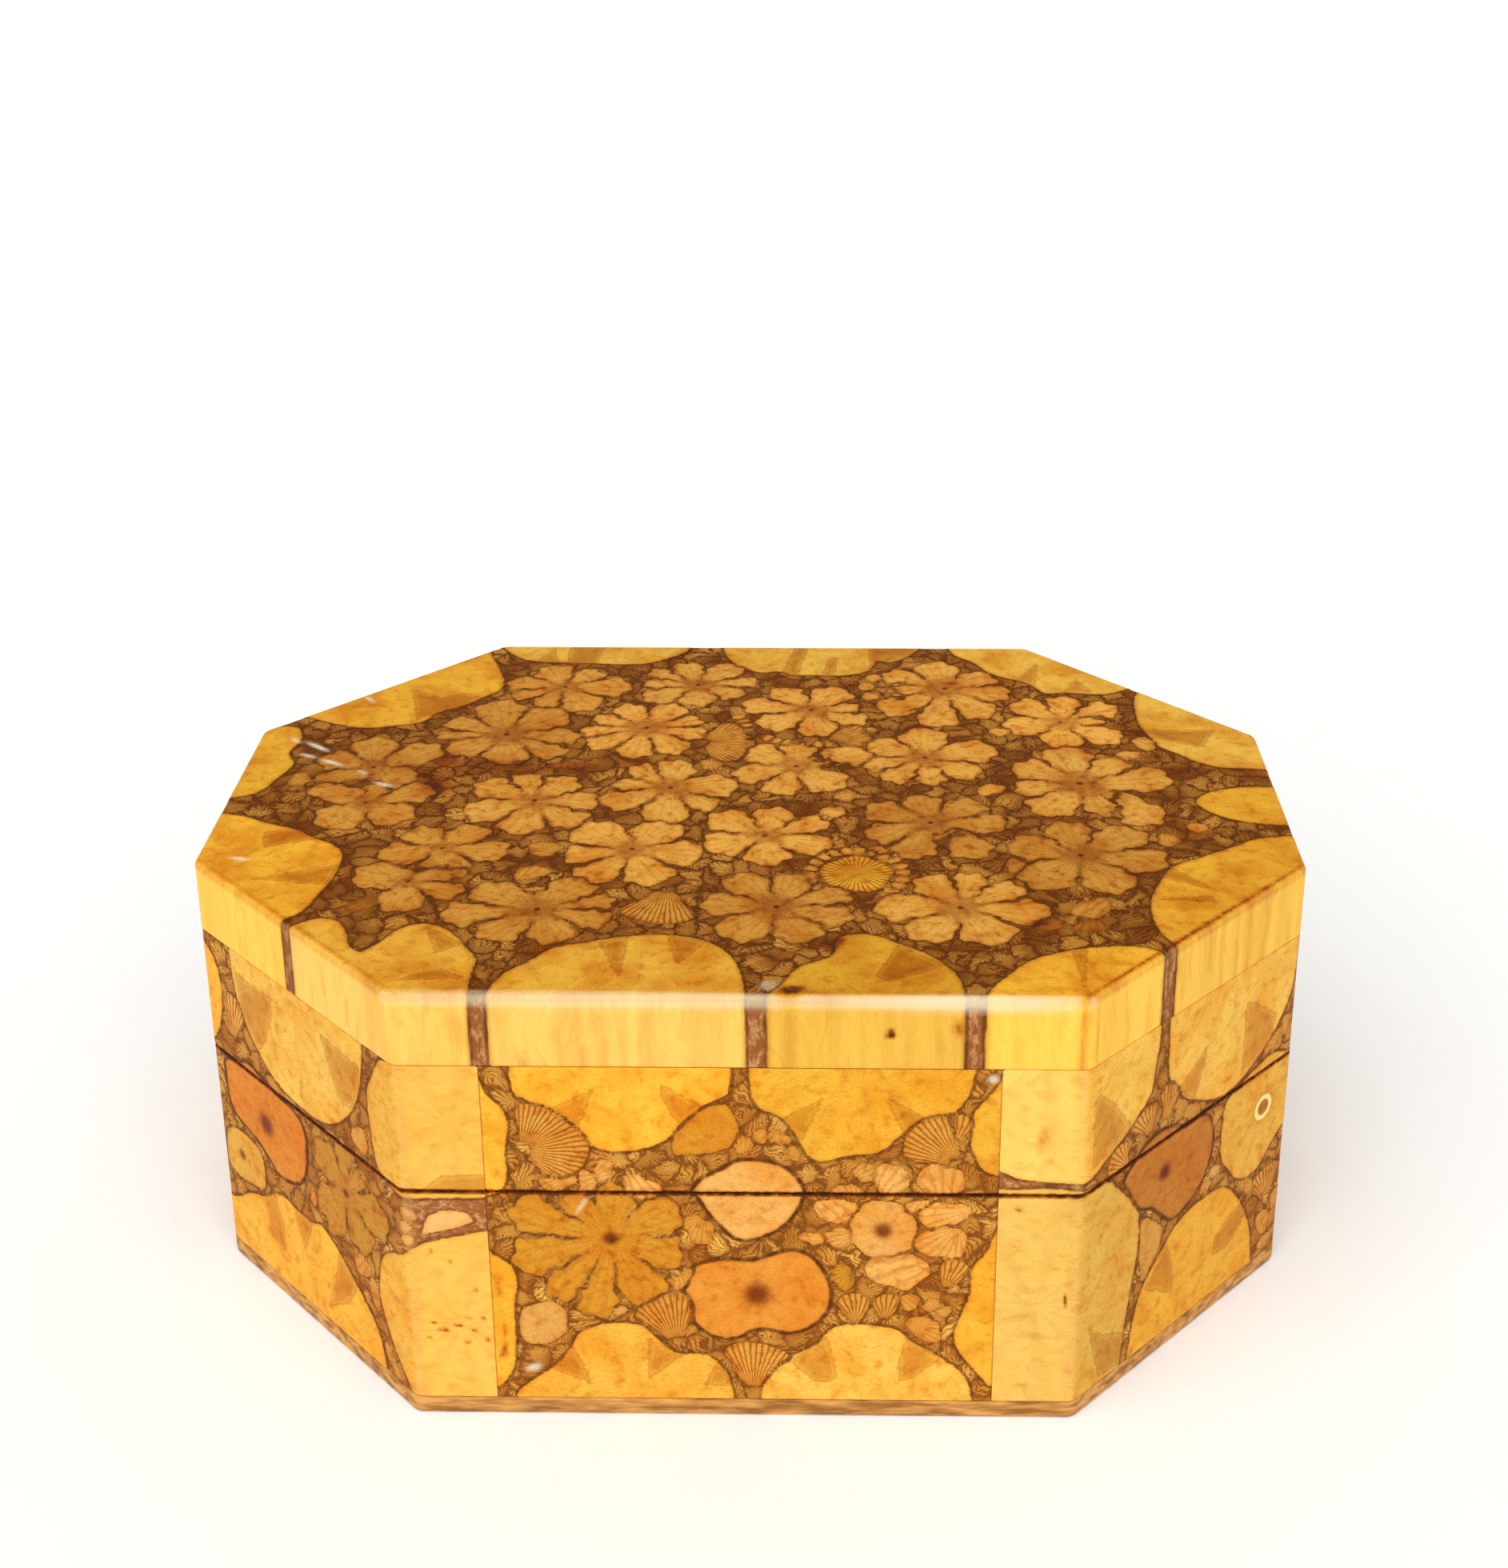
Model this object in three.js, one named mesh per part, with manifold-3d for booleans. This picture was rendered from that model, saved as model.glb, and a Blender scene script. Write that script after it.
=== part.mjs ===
// An octagonal trinket box with a lift-off lid, glued up from slabs sawn across bundles of vine stems.
// Millimetres, +Z up. The origin is the middle of the underside, +X runs along the box and -Y is the front.
import * as THREE from "three";
import { mergeVertices } from "three/addons/utils/BufferGeometryUtils.js";
import Module from "manifold-3d";

// Driving dimensions
const LENGTH = 150;
const DEPTH = 104;
const CORNER_CUT = 32; // taken off each corner along both sides, so the corner walls stand at 45 degrees
const WALL = 7.6; // thickness of every wall slab
const BOARD_THICKNESS = 2.6;
const BASE_WALL_HEIGHT = 32.3;
const LID_WALL_HEIGHT = 18.4;
const TOP_THICKNESS = 10.3;
const GLUE_LINE = 0.1; // between glued slabs
const SEAM = 0.3; // between the lid and the base it rests on
const CORNER_RADIUS = 2.2; // the eight upright arrises, worn soft
const TOP_EDGE_RADIUS = 0.7;
const BOARD_EDGE_RADIUS = 0.5;
const ARC_STEPS = 4;

// Sizes that follow from them
const HALF_LENGTH = LENGTH / 2;
const HALF_DEPTH = DEPTH / 2;
const FRONT_HALF = HALF_LENGTH - CORNER_CUT; // half of the front face, from corner to corner
const SIDE_HALF = HALF_DEPTH - CORNER_CUT;
const SLANT = WALL * Math.SQRT2; // how much of the front a corner slab's sawn end takes up
const GLUE_SLANT = GLUE_LINE * Math.SQRT2;
const BASE_WALL_Z = BOARD_THICKNESS + GLUE_LINE;
const LID_WALL_Z = BASE_WALL_Z + BASE_WALL_HEIGHT + SEAM;
const TOP_Z = LID_WALL_Z + LID_WALL_HEIGHT + GLUE_LINE;

// Finishes
const TOP_WOOD = { color: 0xa87a33, roughness: 0.38, metalness: 0 };
const WALL_WOOD = { color: 0xd9a548, roughness: 0.42, metalness: 0 };
const BOARD_WOOD = { color: 0x9a6a35, roughness: 0.6, metalness: 0 };

const wasm = await Module();
wasm.setup();

// A closed outline through corners given as [x, y, radius], each rounded where its radius is above 0.
function roundedOutline(corners) {
  const outline = new THREE.Path();
  corners.forEach(([x, y, radius], i) => {
    const corner = new THREE.Vector2(x, y);
    const before = cornerPoint(corners, i - 1).sub(corner).normalize();
    const after = cornerPoint(corners, i + 1).sub(corner).normalize();
    if (radius > 0) {
      const halfAngle = Math.acos(before.dot(after)) / 2;
      const inward = before.clone().add(after).normalize();
      const centre = corner.clone().addScaledVector(inward, radius / Math.sin(halfAngle));
      const reach = radius / Math.tan(halfAngle);
      const start = corner.clone().addScaledVector(before, reach).sub(centre).angle();
      const end = corner.clone().addScaledVector(after, reach).sub(centre).angle();
      outline.absarc(centre.x, centre.y, radius, start, end, false);
    } else if (i === 0) {
      outline.moveTo(x, y);
    } else {
      outline.lineTo(x, y);
    }
  });
  outline.closePath();
  return new THREE.Shape(outline.getPoints(ARC_STEPS).slice(0, -1));
}

function cornerPoint(corners, i) {
  const [x, y] = corners.at(i % corners.length);
  return new THREE.Vector2(x, y);
}

// The box's plan: an oblong with its four corners sawn off, every arris rounded, anticlockwise.
function octagon() {
  return roundedOutline([
    [FRONT_HALF, -HALF_DEPTH, CORNER_RADIUS],
    [HALF_LENGTH, -SIDE_HALF, CORNER_RADIUS],
    [HALF_LENGTH, SIDE_HALF, CORNER_RADIUS],
    [FRONT_HALF, HALF_DEPTH, CORNER_RADIUS],
    [-FRONT_HALF, HALF_DEPTH, CORNER_RADIUS],
    [-HALF_LENGTH, SIDE_HALF, CORNER_RADIUS],
    [-HALF_LENGTH, -SIDE_HALF, CORNER_RADIUS],
    [-FRONT_HALF, -HALF_DEPTH, CORNER_RADIUS],
  ]);
}

// A straight wall lies between two corner slabs, so its ends splay out towards the inside of the box.
// Drawn along +X, its outer face is on y = -half, half the box's size that way.
function straightWallPlan(faceHalf, half) {
  const outer = faceHalf - SLANT - GLUE_SLANT;
  const inner = outer + WALL;
  return roundedOutline([
    [-outer, -half, 0],
    [outer, -half, 0],
    [inner, -half + WALL, 0],
    [-inner, -half + WALL, 0],
  ]);
}

// A corner slab runs through to both neighbouring faces, where its ends are sawn flush with them.
function cornerWallPlan() {
  return roundedOutline([
    [FRONT_HALF, -HALF_DEPTH, CORNER_RADIUS],
    [HALF_LENGTH, -SIDE_HALF, CORNER_RADIUS],
    [HALF_LENGTH, -SIDE_HALF + SLANT, 0],
    [FRONT_HALF - SLANT, -HALF_DEPTH, 0],
  ]);
}

function prism(plan, height) {
  return new THREE.ExtrudeGeometry(plan, { depth: height, bevelEnabled: false });
}

function solidOf(geometry) {
  const bare = geometry.clone().deleteAttribute("normal").deleteAttribute("uv");
  const merged = mergeVertices(bare, 1e-4);
  const vertProperties = merged.getAttribute("position").array;
  return new wasm.Manifold(
    new wasm.Mesh({ numProp: 3, vertProperties, triVerts: new Uint32Array(merged.index.array) }),
  );
}

function geometryOf(solid) {
  const { vertProperties, triVerts } = solid.getMesh();
  const geometry = new THREE.BufferGeometry();
  geometry.setAttribute("position", new THREE.BufferAttribute(vertProperties, 3));
  geometry.setIndex(new THREE.BufferAttribute(triVerts, 1));
  return geometry;
}

// An octagonal plate from z = 0 up, its upper edge rounded and its lower edge left square.
function roundedPlate(thickness, radius) {
  const pillow = new THREE.ExtrudeGeometry(octagon(), {
    depth: thickness,
    bevelThickness: radius,
    bevelSize: radius,
    bevelOffset: -radius,
    bevelSegments: ARC_STEPS,
  }).translate(0, 0, -radius);
  const below = new THREE.BoxGeometry(2 * LENGTH, 2 * DEPTH, 4 * radius).translate(0, 0, -2 * radius);
  return geometryOf(solidOf(pillow).subtract(solidOf(below)));
}

function piece(name, geometry, finish) {
  const mesh = new THREE.Mesh(geometry, new THREE.MeshStandardMaterial(finish));
  mesh.name = name;
  return mesh;
}

// A ring of eight walls: four straight ones, and a corner slab between each two of them.
function wallRing(prefix, height, z) {
  const ring = new THREE.Group();
  const longWall = prism(straightWallPlan(FRONT_HALF, HALF_DEPTH), height);
  const shortWall = prism(straightWallPlan(SIDE_HALF, HALF_LENGTH), height);
  const cornerWall = prism(cornerWallPlan(), height);
  const straight = [
    ["front", longWall, 0],
    ["right", shortWall, Math.PI / 2],
    ["back", longWall, Math.PI],
    ["left", shortWall, -Math.PI / 2],
  ];
  for (const [side, geometry, turn] of straight) {
    const wall = piece(`${prefix}_${side}`, geometry, WALL_WOOD);
    wall.rotation.z = turn;
    ring.add(wall);
  }
  const corners = [
    ["front_right", 1, 1],
    ["front_left", -1, 1],
    ["back_right", 1, -1],
    ["back_left", -1, -1],
  ];
  for (const [corner, mirrorX, mirrorY] of corners) {
    const wall = piece(`${prefix}_${corner}`, cornerWall, WALL_WOOD);
    wall.scale.set(mirrorX, mirrorY, 1);
    ring.add(wall);
  }
  ring.position.z = z;
  return ring;
}

function base() {
  const group = new THREE.Group();
  const board = piece("base_board", roundedPlate(BOARD_THICKNESS, BOARD_EDGE_RADIUS), BOARD_WOOD);
  board.rotation.x = Math.PI; // its rounded edge is underneath
  board.position.z = BOARD_THICKNESS;
  group.add(board, wallRing("base_wall", BASE_WALL_HEIGHT, BASE_WALL_Z));
  return group;
}

function lid() {
  const group = new THREE.Group();
  const top = piece("lid_top", roundedPlate(TOP_THICKNESS, TOP_EDGE_RADIUS), TOP_WOOD);
  top.position.z = TOP_Z;
  group.add(wallRing("lid_wall", LID_WALL_HEIGHT, LID_WALL_Z), top);
  return group;
}

const box = new THREE.Group();
box.add(base(), lid());

export default box;
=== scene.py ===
import math

import bmesh
import bpy
import numpy as np
from mathutils import Matrix, Vector


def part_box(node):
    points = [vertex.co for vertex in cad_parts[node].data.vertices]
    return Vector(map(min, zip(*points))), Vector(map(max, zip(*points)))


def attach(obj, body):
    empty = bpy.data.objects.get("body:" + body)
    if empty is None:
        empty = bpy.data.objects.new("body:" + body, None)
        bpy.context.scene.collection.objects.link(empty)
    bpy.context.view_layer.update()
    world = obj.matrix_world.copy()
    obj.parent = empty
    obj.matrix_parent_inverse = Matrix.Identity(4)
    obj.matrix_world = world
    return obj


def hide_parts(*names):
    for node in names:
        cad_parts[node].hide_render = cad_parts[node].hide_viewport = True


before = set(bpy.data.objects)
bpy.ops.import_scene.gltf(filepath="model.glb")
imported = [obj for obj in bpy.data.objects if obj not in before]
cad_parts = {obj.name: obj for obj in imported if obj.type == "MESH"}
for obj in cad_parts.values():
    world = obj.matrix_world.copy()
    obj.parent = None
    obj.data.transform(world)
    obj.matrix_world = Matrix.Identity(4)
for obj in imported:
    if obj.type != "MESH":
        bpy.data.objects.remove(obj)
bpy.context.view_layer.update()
bpy.ops.object.select_all(action="DESELECT")
mm = 0.001
print("frame loaded with", len(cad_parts), "nodes")


# Sizes read from the frame, in metres
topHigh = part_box("lid_top")[1]
frontLow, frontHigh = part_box("base_wall_front")
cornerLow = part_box("base_wall_front_right")[0]
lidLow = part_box("lid_wall_front")[0]
diagonal = math.sqrt(2)
halfLength = topHigh.x
halfDepth = topHigh.y
wallThick = frontHigh.y - frontLow.y
frontHalf = cornerLow.x + wallThick * diagonal  # middle of the front face to its corner
cornerCut = halfLength - frontHalf
sideHalf = halfDepth - cornerCut
longOuterHalf = frontHigh.x - wallThick  # the front wall's own outer face stops at the corner slabs
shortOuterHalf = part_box("base_wall_right")[1].y - wallThick
cornerOuterHalf = cornerCut / diagonal
cornerDistance = (frontHalf + halfDepth) / diagonal  # box middle to a corner wall's face
cornerOffset = (halfLength + frontHalf - halfDepth - sideHalf) / 2 / diagonal  # its middle, sideways
seamHeight = (frontHigh.z + lidLow.z) / 2

boxShape = {
    "cell": 0.4 * mm,  # mesh spacing on the walls' faces
    "topCell": 0.46 * mm,
    "cornerRadius": 2.2 * mm,
    "arcSteps": 6,
    "topRadius": 0.7 * mm,
    "boardRadius": 0.5 * mm,
    "boardCell": 2.5 * mm,
    "softEdge": 0.16 * mm,  # every sawn arris is eased this much
    "mergeWithin": 0.001 * mm,
    "fillerSunk": 0.05 * mm,  # the filler has shrunk below the wood
    "seamShade": 0.35 * mm,  # painted shade in the seam between lid and base, this far above and below it
    "topTone": (0.9, 0.88, 0.7),  # the top's face is browner than the walls, and darker as painted shade for the lesser light on the top
    "topEdgeTone": (1.06, 1.16, 1.9),  # sawn edges are paler
    "wallEdgeTone": (1.04, 1.06, 1.4),
}


# Colours of the stems
woodTone = {
    "yellow": "#F6BD3C",
    "gold": "#EFBA48",
    "pale": "#F8C958",
    "orange": "#E39A3A",
    "redOrange": "#DE8C26",
    "rust": "#CC842A",
    "cream": "#E4B060",
    "petal": "#EAB460",
    "dimPetal": "#D4982C",
    "darkPetal": "#B27024",
    "tan": "#F4BC5C",
    "dimTan": "#DEA54A",
    "fan": "#DEA446",
}
toneOutline = {  # how dark the line round a slice is
    "orange": 1.0,
    "redOrange": 1.0,
    "rust": 1.0,
    "cream": 1.0,
    "yellow": 0.7,
    "gold": 0.7,
    "pale": 0.7,
}
kindOutline = {"slice": 0.5, "flower": 0.6, "fan": 0.5, "bit": 0.35}  # where the tone has none of its own
kindRays = {  # number of rays round a stem and their strength
    "slice": (13, 0.08),
    "flower": (34, 0.14),
    "fan": (7.2, 0.7),  # that many for each mm of its radius
    "bit": (30, 0.28),
}


def toLinear(hexColour):
    channels = [int(hexColour[i:i + 2], 16) / 255 for i in (1, 3, 5)]
    linear = [c / 12.92 if c <= 0.04045 else ((c + 0.055) / 1.055) ** 2.4 for c in channels]
    return (*linear, 1.0)


# Slice figures: how each slab's stems lie, drawn in millimetres on its face.
# slice: tone, heart that its rays run from, pith radius, outline; a stem, whole or cut by the slab's
# edge, with a pale ring round the pith where that radius is below 0
# wedges: darker arms of wood inside those slices
# flower: tone, heart, then the middle of each petal; a stem whose wood is split into petals
# fan: pith, radius, direction, half spread, sometimes a tone; part of a stem with strong rays
# bit: middle, half width, half height, turn, tone; a small piece
# mark: middle, half width, half height, turn, strength; a stain, speck, dark line or patch, pale if below
# 0, on the slab's sawn edge where a depth under the face follows; on the top some pale ones are painted
# glints and a painted highlight
frontFigure = {
    "slice": (
        ("yellow", (-14.8, 57), 0, (
            (-28.2, 58), (-28.2, 50.4), (-26.6, 47.9), (-24.2, 47), (-20.4, 44.2), (-18, 41.9),
            (-15.6, 41.4), (-9.8, 42.8), (-7.6, 45.4), (-4.6, 48.3), (-1.6, 50), (-1.4, 58))),
        ("yellow", (15, 57), 0, (
            (1.4, 58), (1.3, 50.2), (2.2, 48.1), (4.9, 46.7), (6.6, 44.6), (7.8, 41.9), (9, 40.4),
            (10.8, 40.2), (12.6, 40.9), (17.2, 41.6), (20, 44.2), (22.4, 46.1), (26.4, 47.5),
            (28.2, 50), (28.9, 53), (29, 58))),
        ("yellow", (-40, 45), 0, (
            (-46, 53.6), (-32.8, 52.4), (-31.4, 49.7), (-29.6, 47.5), (-29, 45.4), (-29.6, 41),
            (-29.6, 36.8), (-31, 34.9), (-46, 34.9))),
        ("yellow", (40, 46), 0, (
            (46, 57), (32.6, 53), (31.6, 51), (30.2, 49.2), (29, 47.5), (28.6, 44), (29.2, 41),
            (30.3, 39), (32, 38.2), (46, 37.8))),
        ("yellow", (-40, 16), 0, (
            (-46, 28.7), (-32.7, 28.4), (-32.3, 26), (-31, 25), (-29.5, 23.7), (-28.9, 21.6),
            (-29.4, 18), (-29.6, 10), (-30, 7.4), (-31.4, 5), (-33.7, 3), (-35, -2), (-46, -2))),
        ("yellow", (40, 19), 0, (
            (46, 34.6), (33.2, 34.5), (32.6, 30.5), (31.8, 28.6), (30.8, 26), (29.4, 24.2), (29.1, 20),
            (28.2, 17), (27.3, 14.2), (27.4, 11.8), (28.6, 9.6), (30.8, 6.7), (32, 5.2), (46, 4))),
        ("gold", (-15, 1), 0, (
            (-30.6, -2), (-29.6, 3.4), (-28, 5.2), (-25, 7.6), (-22.2, 11.1), (-21.4, 13), (-19, 14.4),
            (-16.4, 14.9), (-12.8, 14.3), (-11.4, 12.6), (-8.8, 10.2), (-4.6, 9.8), (-2.6, 7.6),
            (-1.6, 5), (-1, -2))),
        ("pale", (16, 1), 0, (
            (2.6, -2), (2.4, 5.6), (3.2, 7.7), (6.9, 10.1), (9.6, 11.9), (11.6, 14.4), (13.6, 14.9),
            (17.8, 14.7), (20, 14.1), (21.4, 12.6), (25.5, 9.8), (28, 7.6), (29.3, 5.4), (29.9, -2))),
        ("cream", (1, 34), 0, (
            (-0.4, 40), (2, 40.1), (4.6, 39.5), (6.6, 37.9), (7.7, 35.7), (7, 33), (5.2, 30.4),
            (3.2, 29), (0.6, 28.1), (-0.8, 28.4), (-2.2, 29.8), (-3.8, 31.8), (-5, 34), (-6.1, 35.6),
            (-5, 37.2), (-2.4, 38.7))),
        ("orange", (1.9, 19.6), 1.5, (
            (-7.4, 19.8), (-7, 22.4), (-5.6, 24.1), (-2.4, 24.9), (1.2, 24.8), (3.8, 25.7), (6.2, 26.4),
            (8.4, 25.7), (10.2, 23.4), (11.2, 20), (10.6, 16.8), (8.6, 14.6), (6, 13.6), (3.6, 14.1),
            (1.6, 14.2), (-0.8, 12.8), (-3, 12.7), (-5.4, 14.2), (-7, 16.8))),
        ("petal", (17.9, 29.7), 1.0, (
            (13.7, 30.4), (14.4, 32.8), (16, 34), (18.2, 34.2), (20.4, 33.4), (21.6, 31.8),
            (22.2, 29.6), (21.8, 27.4), (20, 26.2), (17.6, 25.6), (15.4, 26.2), (14.2, 28))),
        ("petal", (-25.8, 14.6), 0, (
            (-28.3, 17), (-26.6, 17.7), (-24.9, 18.2), (-23.1, 17), (-22.8, 15.5), (-23, 13.5),
            (-24.6, 12), (-26.4, 11.4), (-28.2, 11.8), (-28.9, 14.1))),
        ("dimPetal", (-4, 42), 0, (
            (-8.4, 43.2), (-6.6, 45.8), (-4, 48), (-1.9, 48.4), (-0.5, 46), (-0.7, 43), (-2.2, 41.8),
            (-5, 41.2), (-8.4, 41))),
    ),
    "wedges": (
        ((-24.6, 47), (-20.4, 44.4), (-18.2, 50.6), (-20, 49.6)),
        ((-7.6, 45.6), (-4.8, 48.2), (-9.8, 51.2), (-9.6, 49)),
        ((5.2, 46.4), (7.4, 43), (10.2, 49.4)),
        ((20.2, 44.6), (23.4, 46.4), (18, 49.6)),
        ((-25, 7.6), (-22.2, 11.1), (-20.6, 7.4), (-20, 5.1)),
        ((-12.2, 12.2), (-8, 9.9), (-12.4, 5.9)),
        ((-3.3, 8.6), (-1.6, 5), (-5.2, 5)),
        ((6.2, 8.8), (9.4, 11.8), (10.8, 12.8), (11.7, 9), (12, 6.6), (11.2, 5.5), (9.2, 5.9)),
        ((21, 13), (20.2, 9), (20.2, 6), (22, 6.3), (25.4, 9.7), (23, 11.4)),
    ),
    "flower": (
        ("dimPetal", (-16.7, 28.2), (-26, 31.6), (-26, 25.5), (-22.5, 21), (-18.8, 18.8), (-13.2, 21.4),
         (-10.8, 26), (-10.6, 31.4), (-16, 34), (-21.5, 34)),
    ),
    "fan": (
        (-27.6, 41.4, 8.4, 20, 72),
        (27.4, 39.6, 8.2, 132, 40),
        (26.6, 42.4, 4.6, 80, 34),
        (1.2, 3.4, 8.6, 84, 34),
        (-8.4, 11.4, 8.2, 104, 36),
        (14.6, 14.8, 4.9, 96, 34),
        (18.2, 15.2, 4.6, 88, 28),
        (25.6, 20.2, 5.2, 70, 26),
    ),
    "bit": (
        (-22.6, 36.3, 2.5, 2.3, 0, "petal"), (-19.6, 36.3, 1.6, 2.2, 0, "petal"),
        (-13.5, 35.8, 3.0, 2.0, 0, "petal"), (-17.3, 38.4, 1.0, 1.9, -10, "petal"),
        (18.8, 37.3, 2.1, 2.5, 0, "petal"), (25, 37.2, 3.0, 2.4, -10, "petal"),
        (13.3, 35.6, 2.0, 1.0, 0, "petal"), (15.4, 38.5, 1.2, 1.4, 0, "petal"),
        (25.3, 32.1, 3.3, 1.9, 8, "petal"), (25.4, 28, 3.4, 2.5, 0, "petal"),
        (19.9, 23.4, 4.1, 2.6, 0, "petal"), (12.3, 28.6, 1.6, 1.5, 0, "petal"),
        (12, 32.7, 2.8, 1.8, 0, "petal"), (22, 33.4, 1.7, 0.8, 20, "petal"),
        (0.3, 42.6, 1.2, 1.3, 0, "fan"), (2.6, 43.8, 1.0, 1.0, 0, "fan"),
        (4.7, 43.6, 1.4, 0.9, -20, "fan"), (6.4, 41.2, 0.9, 1.1, 30, "fan"),
        (12.8, 22.4, 1.2, 2.1, 12, "dimPetal"), (9, 28.4, 1.7, 0.8, -12, "petal"),
        (-5.4, 29.6, 1.6, 2.4, 30, "fan"), (-7.6, 21.8, 0.9, 1.9, -40, "fan"),
        (21.4, 18.6, 1.2, 1.3, 0, "fan"), (24.2, 18.2, 1.2, 0.8, 40, "fan"),
        (25.9, 17.1, 1.0, 0.7, 30, "fan"), (23.4, 14.4, 2.6, 1.6, -40, "fan"),
        (-15.8, 16.9, 0.9, 0.7, 60, "cream"),
    ),
    "mark": (
        (-27.3, 7.6, 0.9, 0.5, 20, -0.6), (31.2, 52.4, 0.6, 0.5, 0, -0.6),
        (-31.4, 20.4, 0.3, 1.6, 10, 0.4), (-31.2, 10.2, 0.35, 1.2, -20, 0.5),
        (-30.9, 13.6, 0.3, 1.1, 0, 0.45), (-20.2, 33.2, 0.25, 1.3, -30, -0.4),
    ),
}
leftFigure = {
    "slice": (
        ("pale", (22.8, 56), 0, (
            (7, 58), (7.3, 51.8), (7.8, 47.6), (9.2, 43.8), (12.6, 39.9), (16, 37.4), (20.9, 36.2),
            (26.6, 36.2), (30, 37.3), (33.6, 40.2), (36.6, 44.4), (37.9, 48), (38.6, 52), (39.5, 58))),
        ("yellow", (-4, 44), 0, (
            (-10, 54), (1.3, 51.6), (3.3, 49.3), (4, 46), (3.4, 42), (2, 38.4), (0, 36.2),
            (-10, 35.6))),
        ("gold", (50, 45), 0, (
            (57, 55), (43, 53.5), (40.4, 49.6), (39.3, 47.4), (39.1, 44), (39.5, 40), (40.2, 36.4),
            (42, 34.8), (57, 34.8))),
        ("yellow", (20, 0), 0, (
            (-3, -2), (-2, 9), (2.5, 10.8), (5.9, 13.3), (10.4, 15.2), (13.2, 17.2), (15.5, 17.9),
            (19, 17.5), (22.5, 17.5), (24.4, 18.3), (27, 17.6), (30.9, 14.7), (34.8, 11.2), (36.9, 8.8),
            (38, 6), (38.7, -2))),
        ("gold", (50, 14), 0, (
            (57, 29.6), (52, 29), (49.8, 28.2), (47, 27.2), (44.6, 25), (41.4, 23.4), (39.8, 21.8),
            (38.8, 18.6), (38.4, 15), (39.2, 11.8), (40.7, 8.4), (42.6, 5.4), (44.6, 2.4), (46, -2),
            (57, -2))),
        ("redOrange", (12.7, 28.3), 1.5, (
            (2.9, 31), (3, 34), (6.7, 35.4), (9.4, 36.4), (12, 35.8), (16, 34.8), (20.5, 34.2),
            (22.5, 32.6), (22.7, 29), (21.8, 25), (20, 22.7), (17, 21.5), (14.4, 21.4), (12, 23.2),
            (8.2, 24.8), (4.6, 25.8), (3.2, 27.6))),
        ("gold", (5, 19.3), 0.7, (
            (0.8, 19), (1.4, 21.6), (3, 22.9), (7, 23.4), (10.2, 22.3), (10.9, 19.8), (10.2, 16.2),
            (7, 15.4), (3, 15), (1, 16))),
        ("gold", (-6, 24), 0, (
            (-12, 33.4), (-4, 33.2), (-1.8, 31), (-1.1, 26), (-1.3, 20), (-2.6, 15.4), (-5, 13.6),
            (-12, 13.4))),
        ("petal", (49, 30), 0, (
            (47, 28.6), (47.4, 31), (49, 32.2), (51, 31.8), (51.6, 30.6), (49.5, 29.4))),
    ),
    "wedges": (
        ((8, 50.3), (9.3, 43.6), (12.7, 40.3), (14.8, 43), (16.8, 47.4), (17.2, 50.4)),
        ((29, 50.5), (30.4, 46.5), (33.2, 42), (35, 42.3), (37.4, 46.5), (37.6, 49.8)),
        ((10.2, 15), (13, 17), (14.5, 13), (14.6, 8), (11, 9)),
        ((25, 5.2), (27.2, 10), (28.8, 16), (32.8, 12.8), (30, 8.5)),
        ((18, 17.5), (20, 11.5), (22.6, 17.3)),
        ((47, 35), (57, 35), (57, 38), (49, 37.4)),
    ),
    "flower": (
        ("dimPetal", (32, 27.5), (28, 30.5), (34.4, 31), (38.4, 27.4), (34.4, 22.9), (28, 22.6),
         (32.5, 33.4)),
    ),
    "fan": ((5.6, 38.0, 8.0, 78, 24),),
    "bit": (
        (36.5, 38.3, 1.8, 1.9, 0, "petal"), (45.6, 31.6, 0.8, 1.1, 30, "cream"),
        (45.2, 29.5, 0.7, 0.9, 0, "cream"), (45.4, 27.6, 0.7, 0.8, 0, "cream"),
        (23.7, 22.2, 0.9, 1.6, 0, "fan"), (16, 36.1, 2.2, 0.8, -18, "fan"),
        (37, 14.6, 1.0, 2.6, 10, "fan"), (34.6, 17.4, 2.0, 1.6, 20, "fan"),
        (40, 5.6, 0.9, 2.6, 30, "fan"), (26, 20.4, 1.2, 0.8, 0, "fan"),
    ),
    "mark": (
        (48.2, 13.6, 0.5, 0.25, 0, 0.8), (49.6, 14.3, 0.4, 0.25, 15, 0.8), (51, 13.6, 0.3, 0.2, 0, 0.7),
        (51.9, 15.4, 0.2, 0.3, 0, 0.7), (47.5, 26, 0.2, 0.2, 0, 0.8), (49.2, 24.4, 0.2, 0.2, 0, 0.7),
        (46.9, 12.4, 0.25, 0.2, 0, 0.6), (50.4, 11.6, 0.35, 0.2, 30, 0.6), (52.2, 12, 0.2, 0.3, 0, 0.6),
        (47.4, 14.6, 0.2, 0.2, 0, 0.7), (50.6, 15.4, 0.25, 0.2, 0, 0.6), (51.4, 20, 0.2, 0.3, 0, 0.5),
        (50.2, 47.6, 0.6, 0.3, 0, 0.15), (47.2, 43.6, 0.6, 0.4, 30, 0.12),
    ),
}
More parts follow.
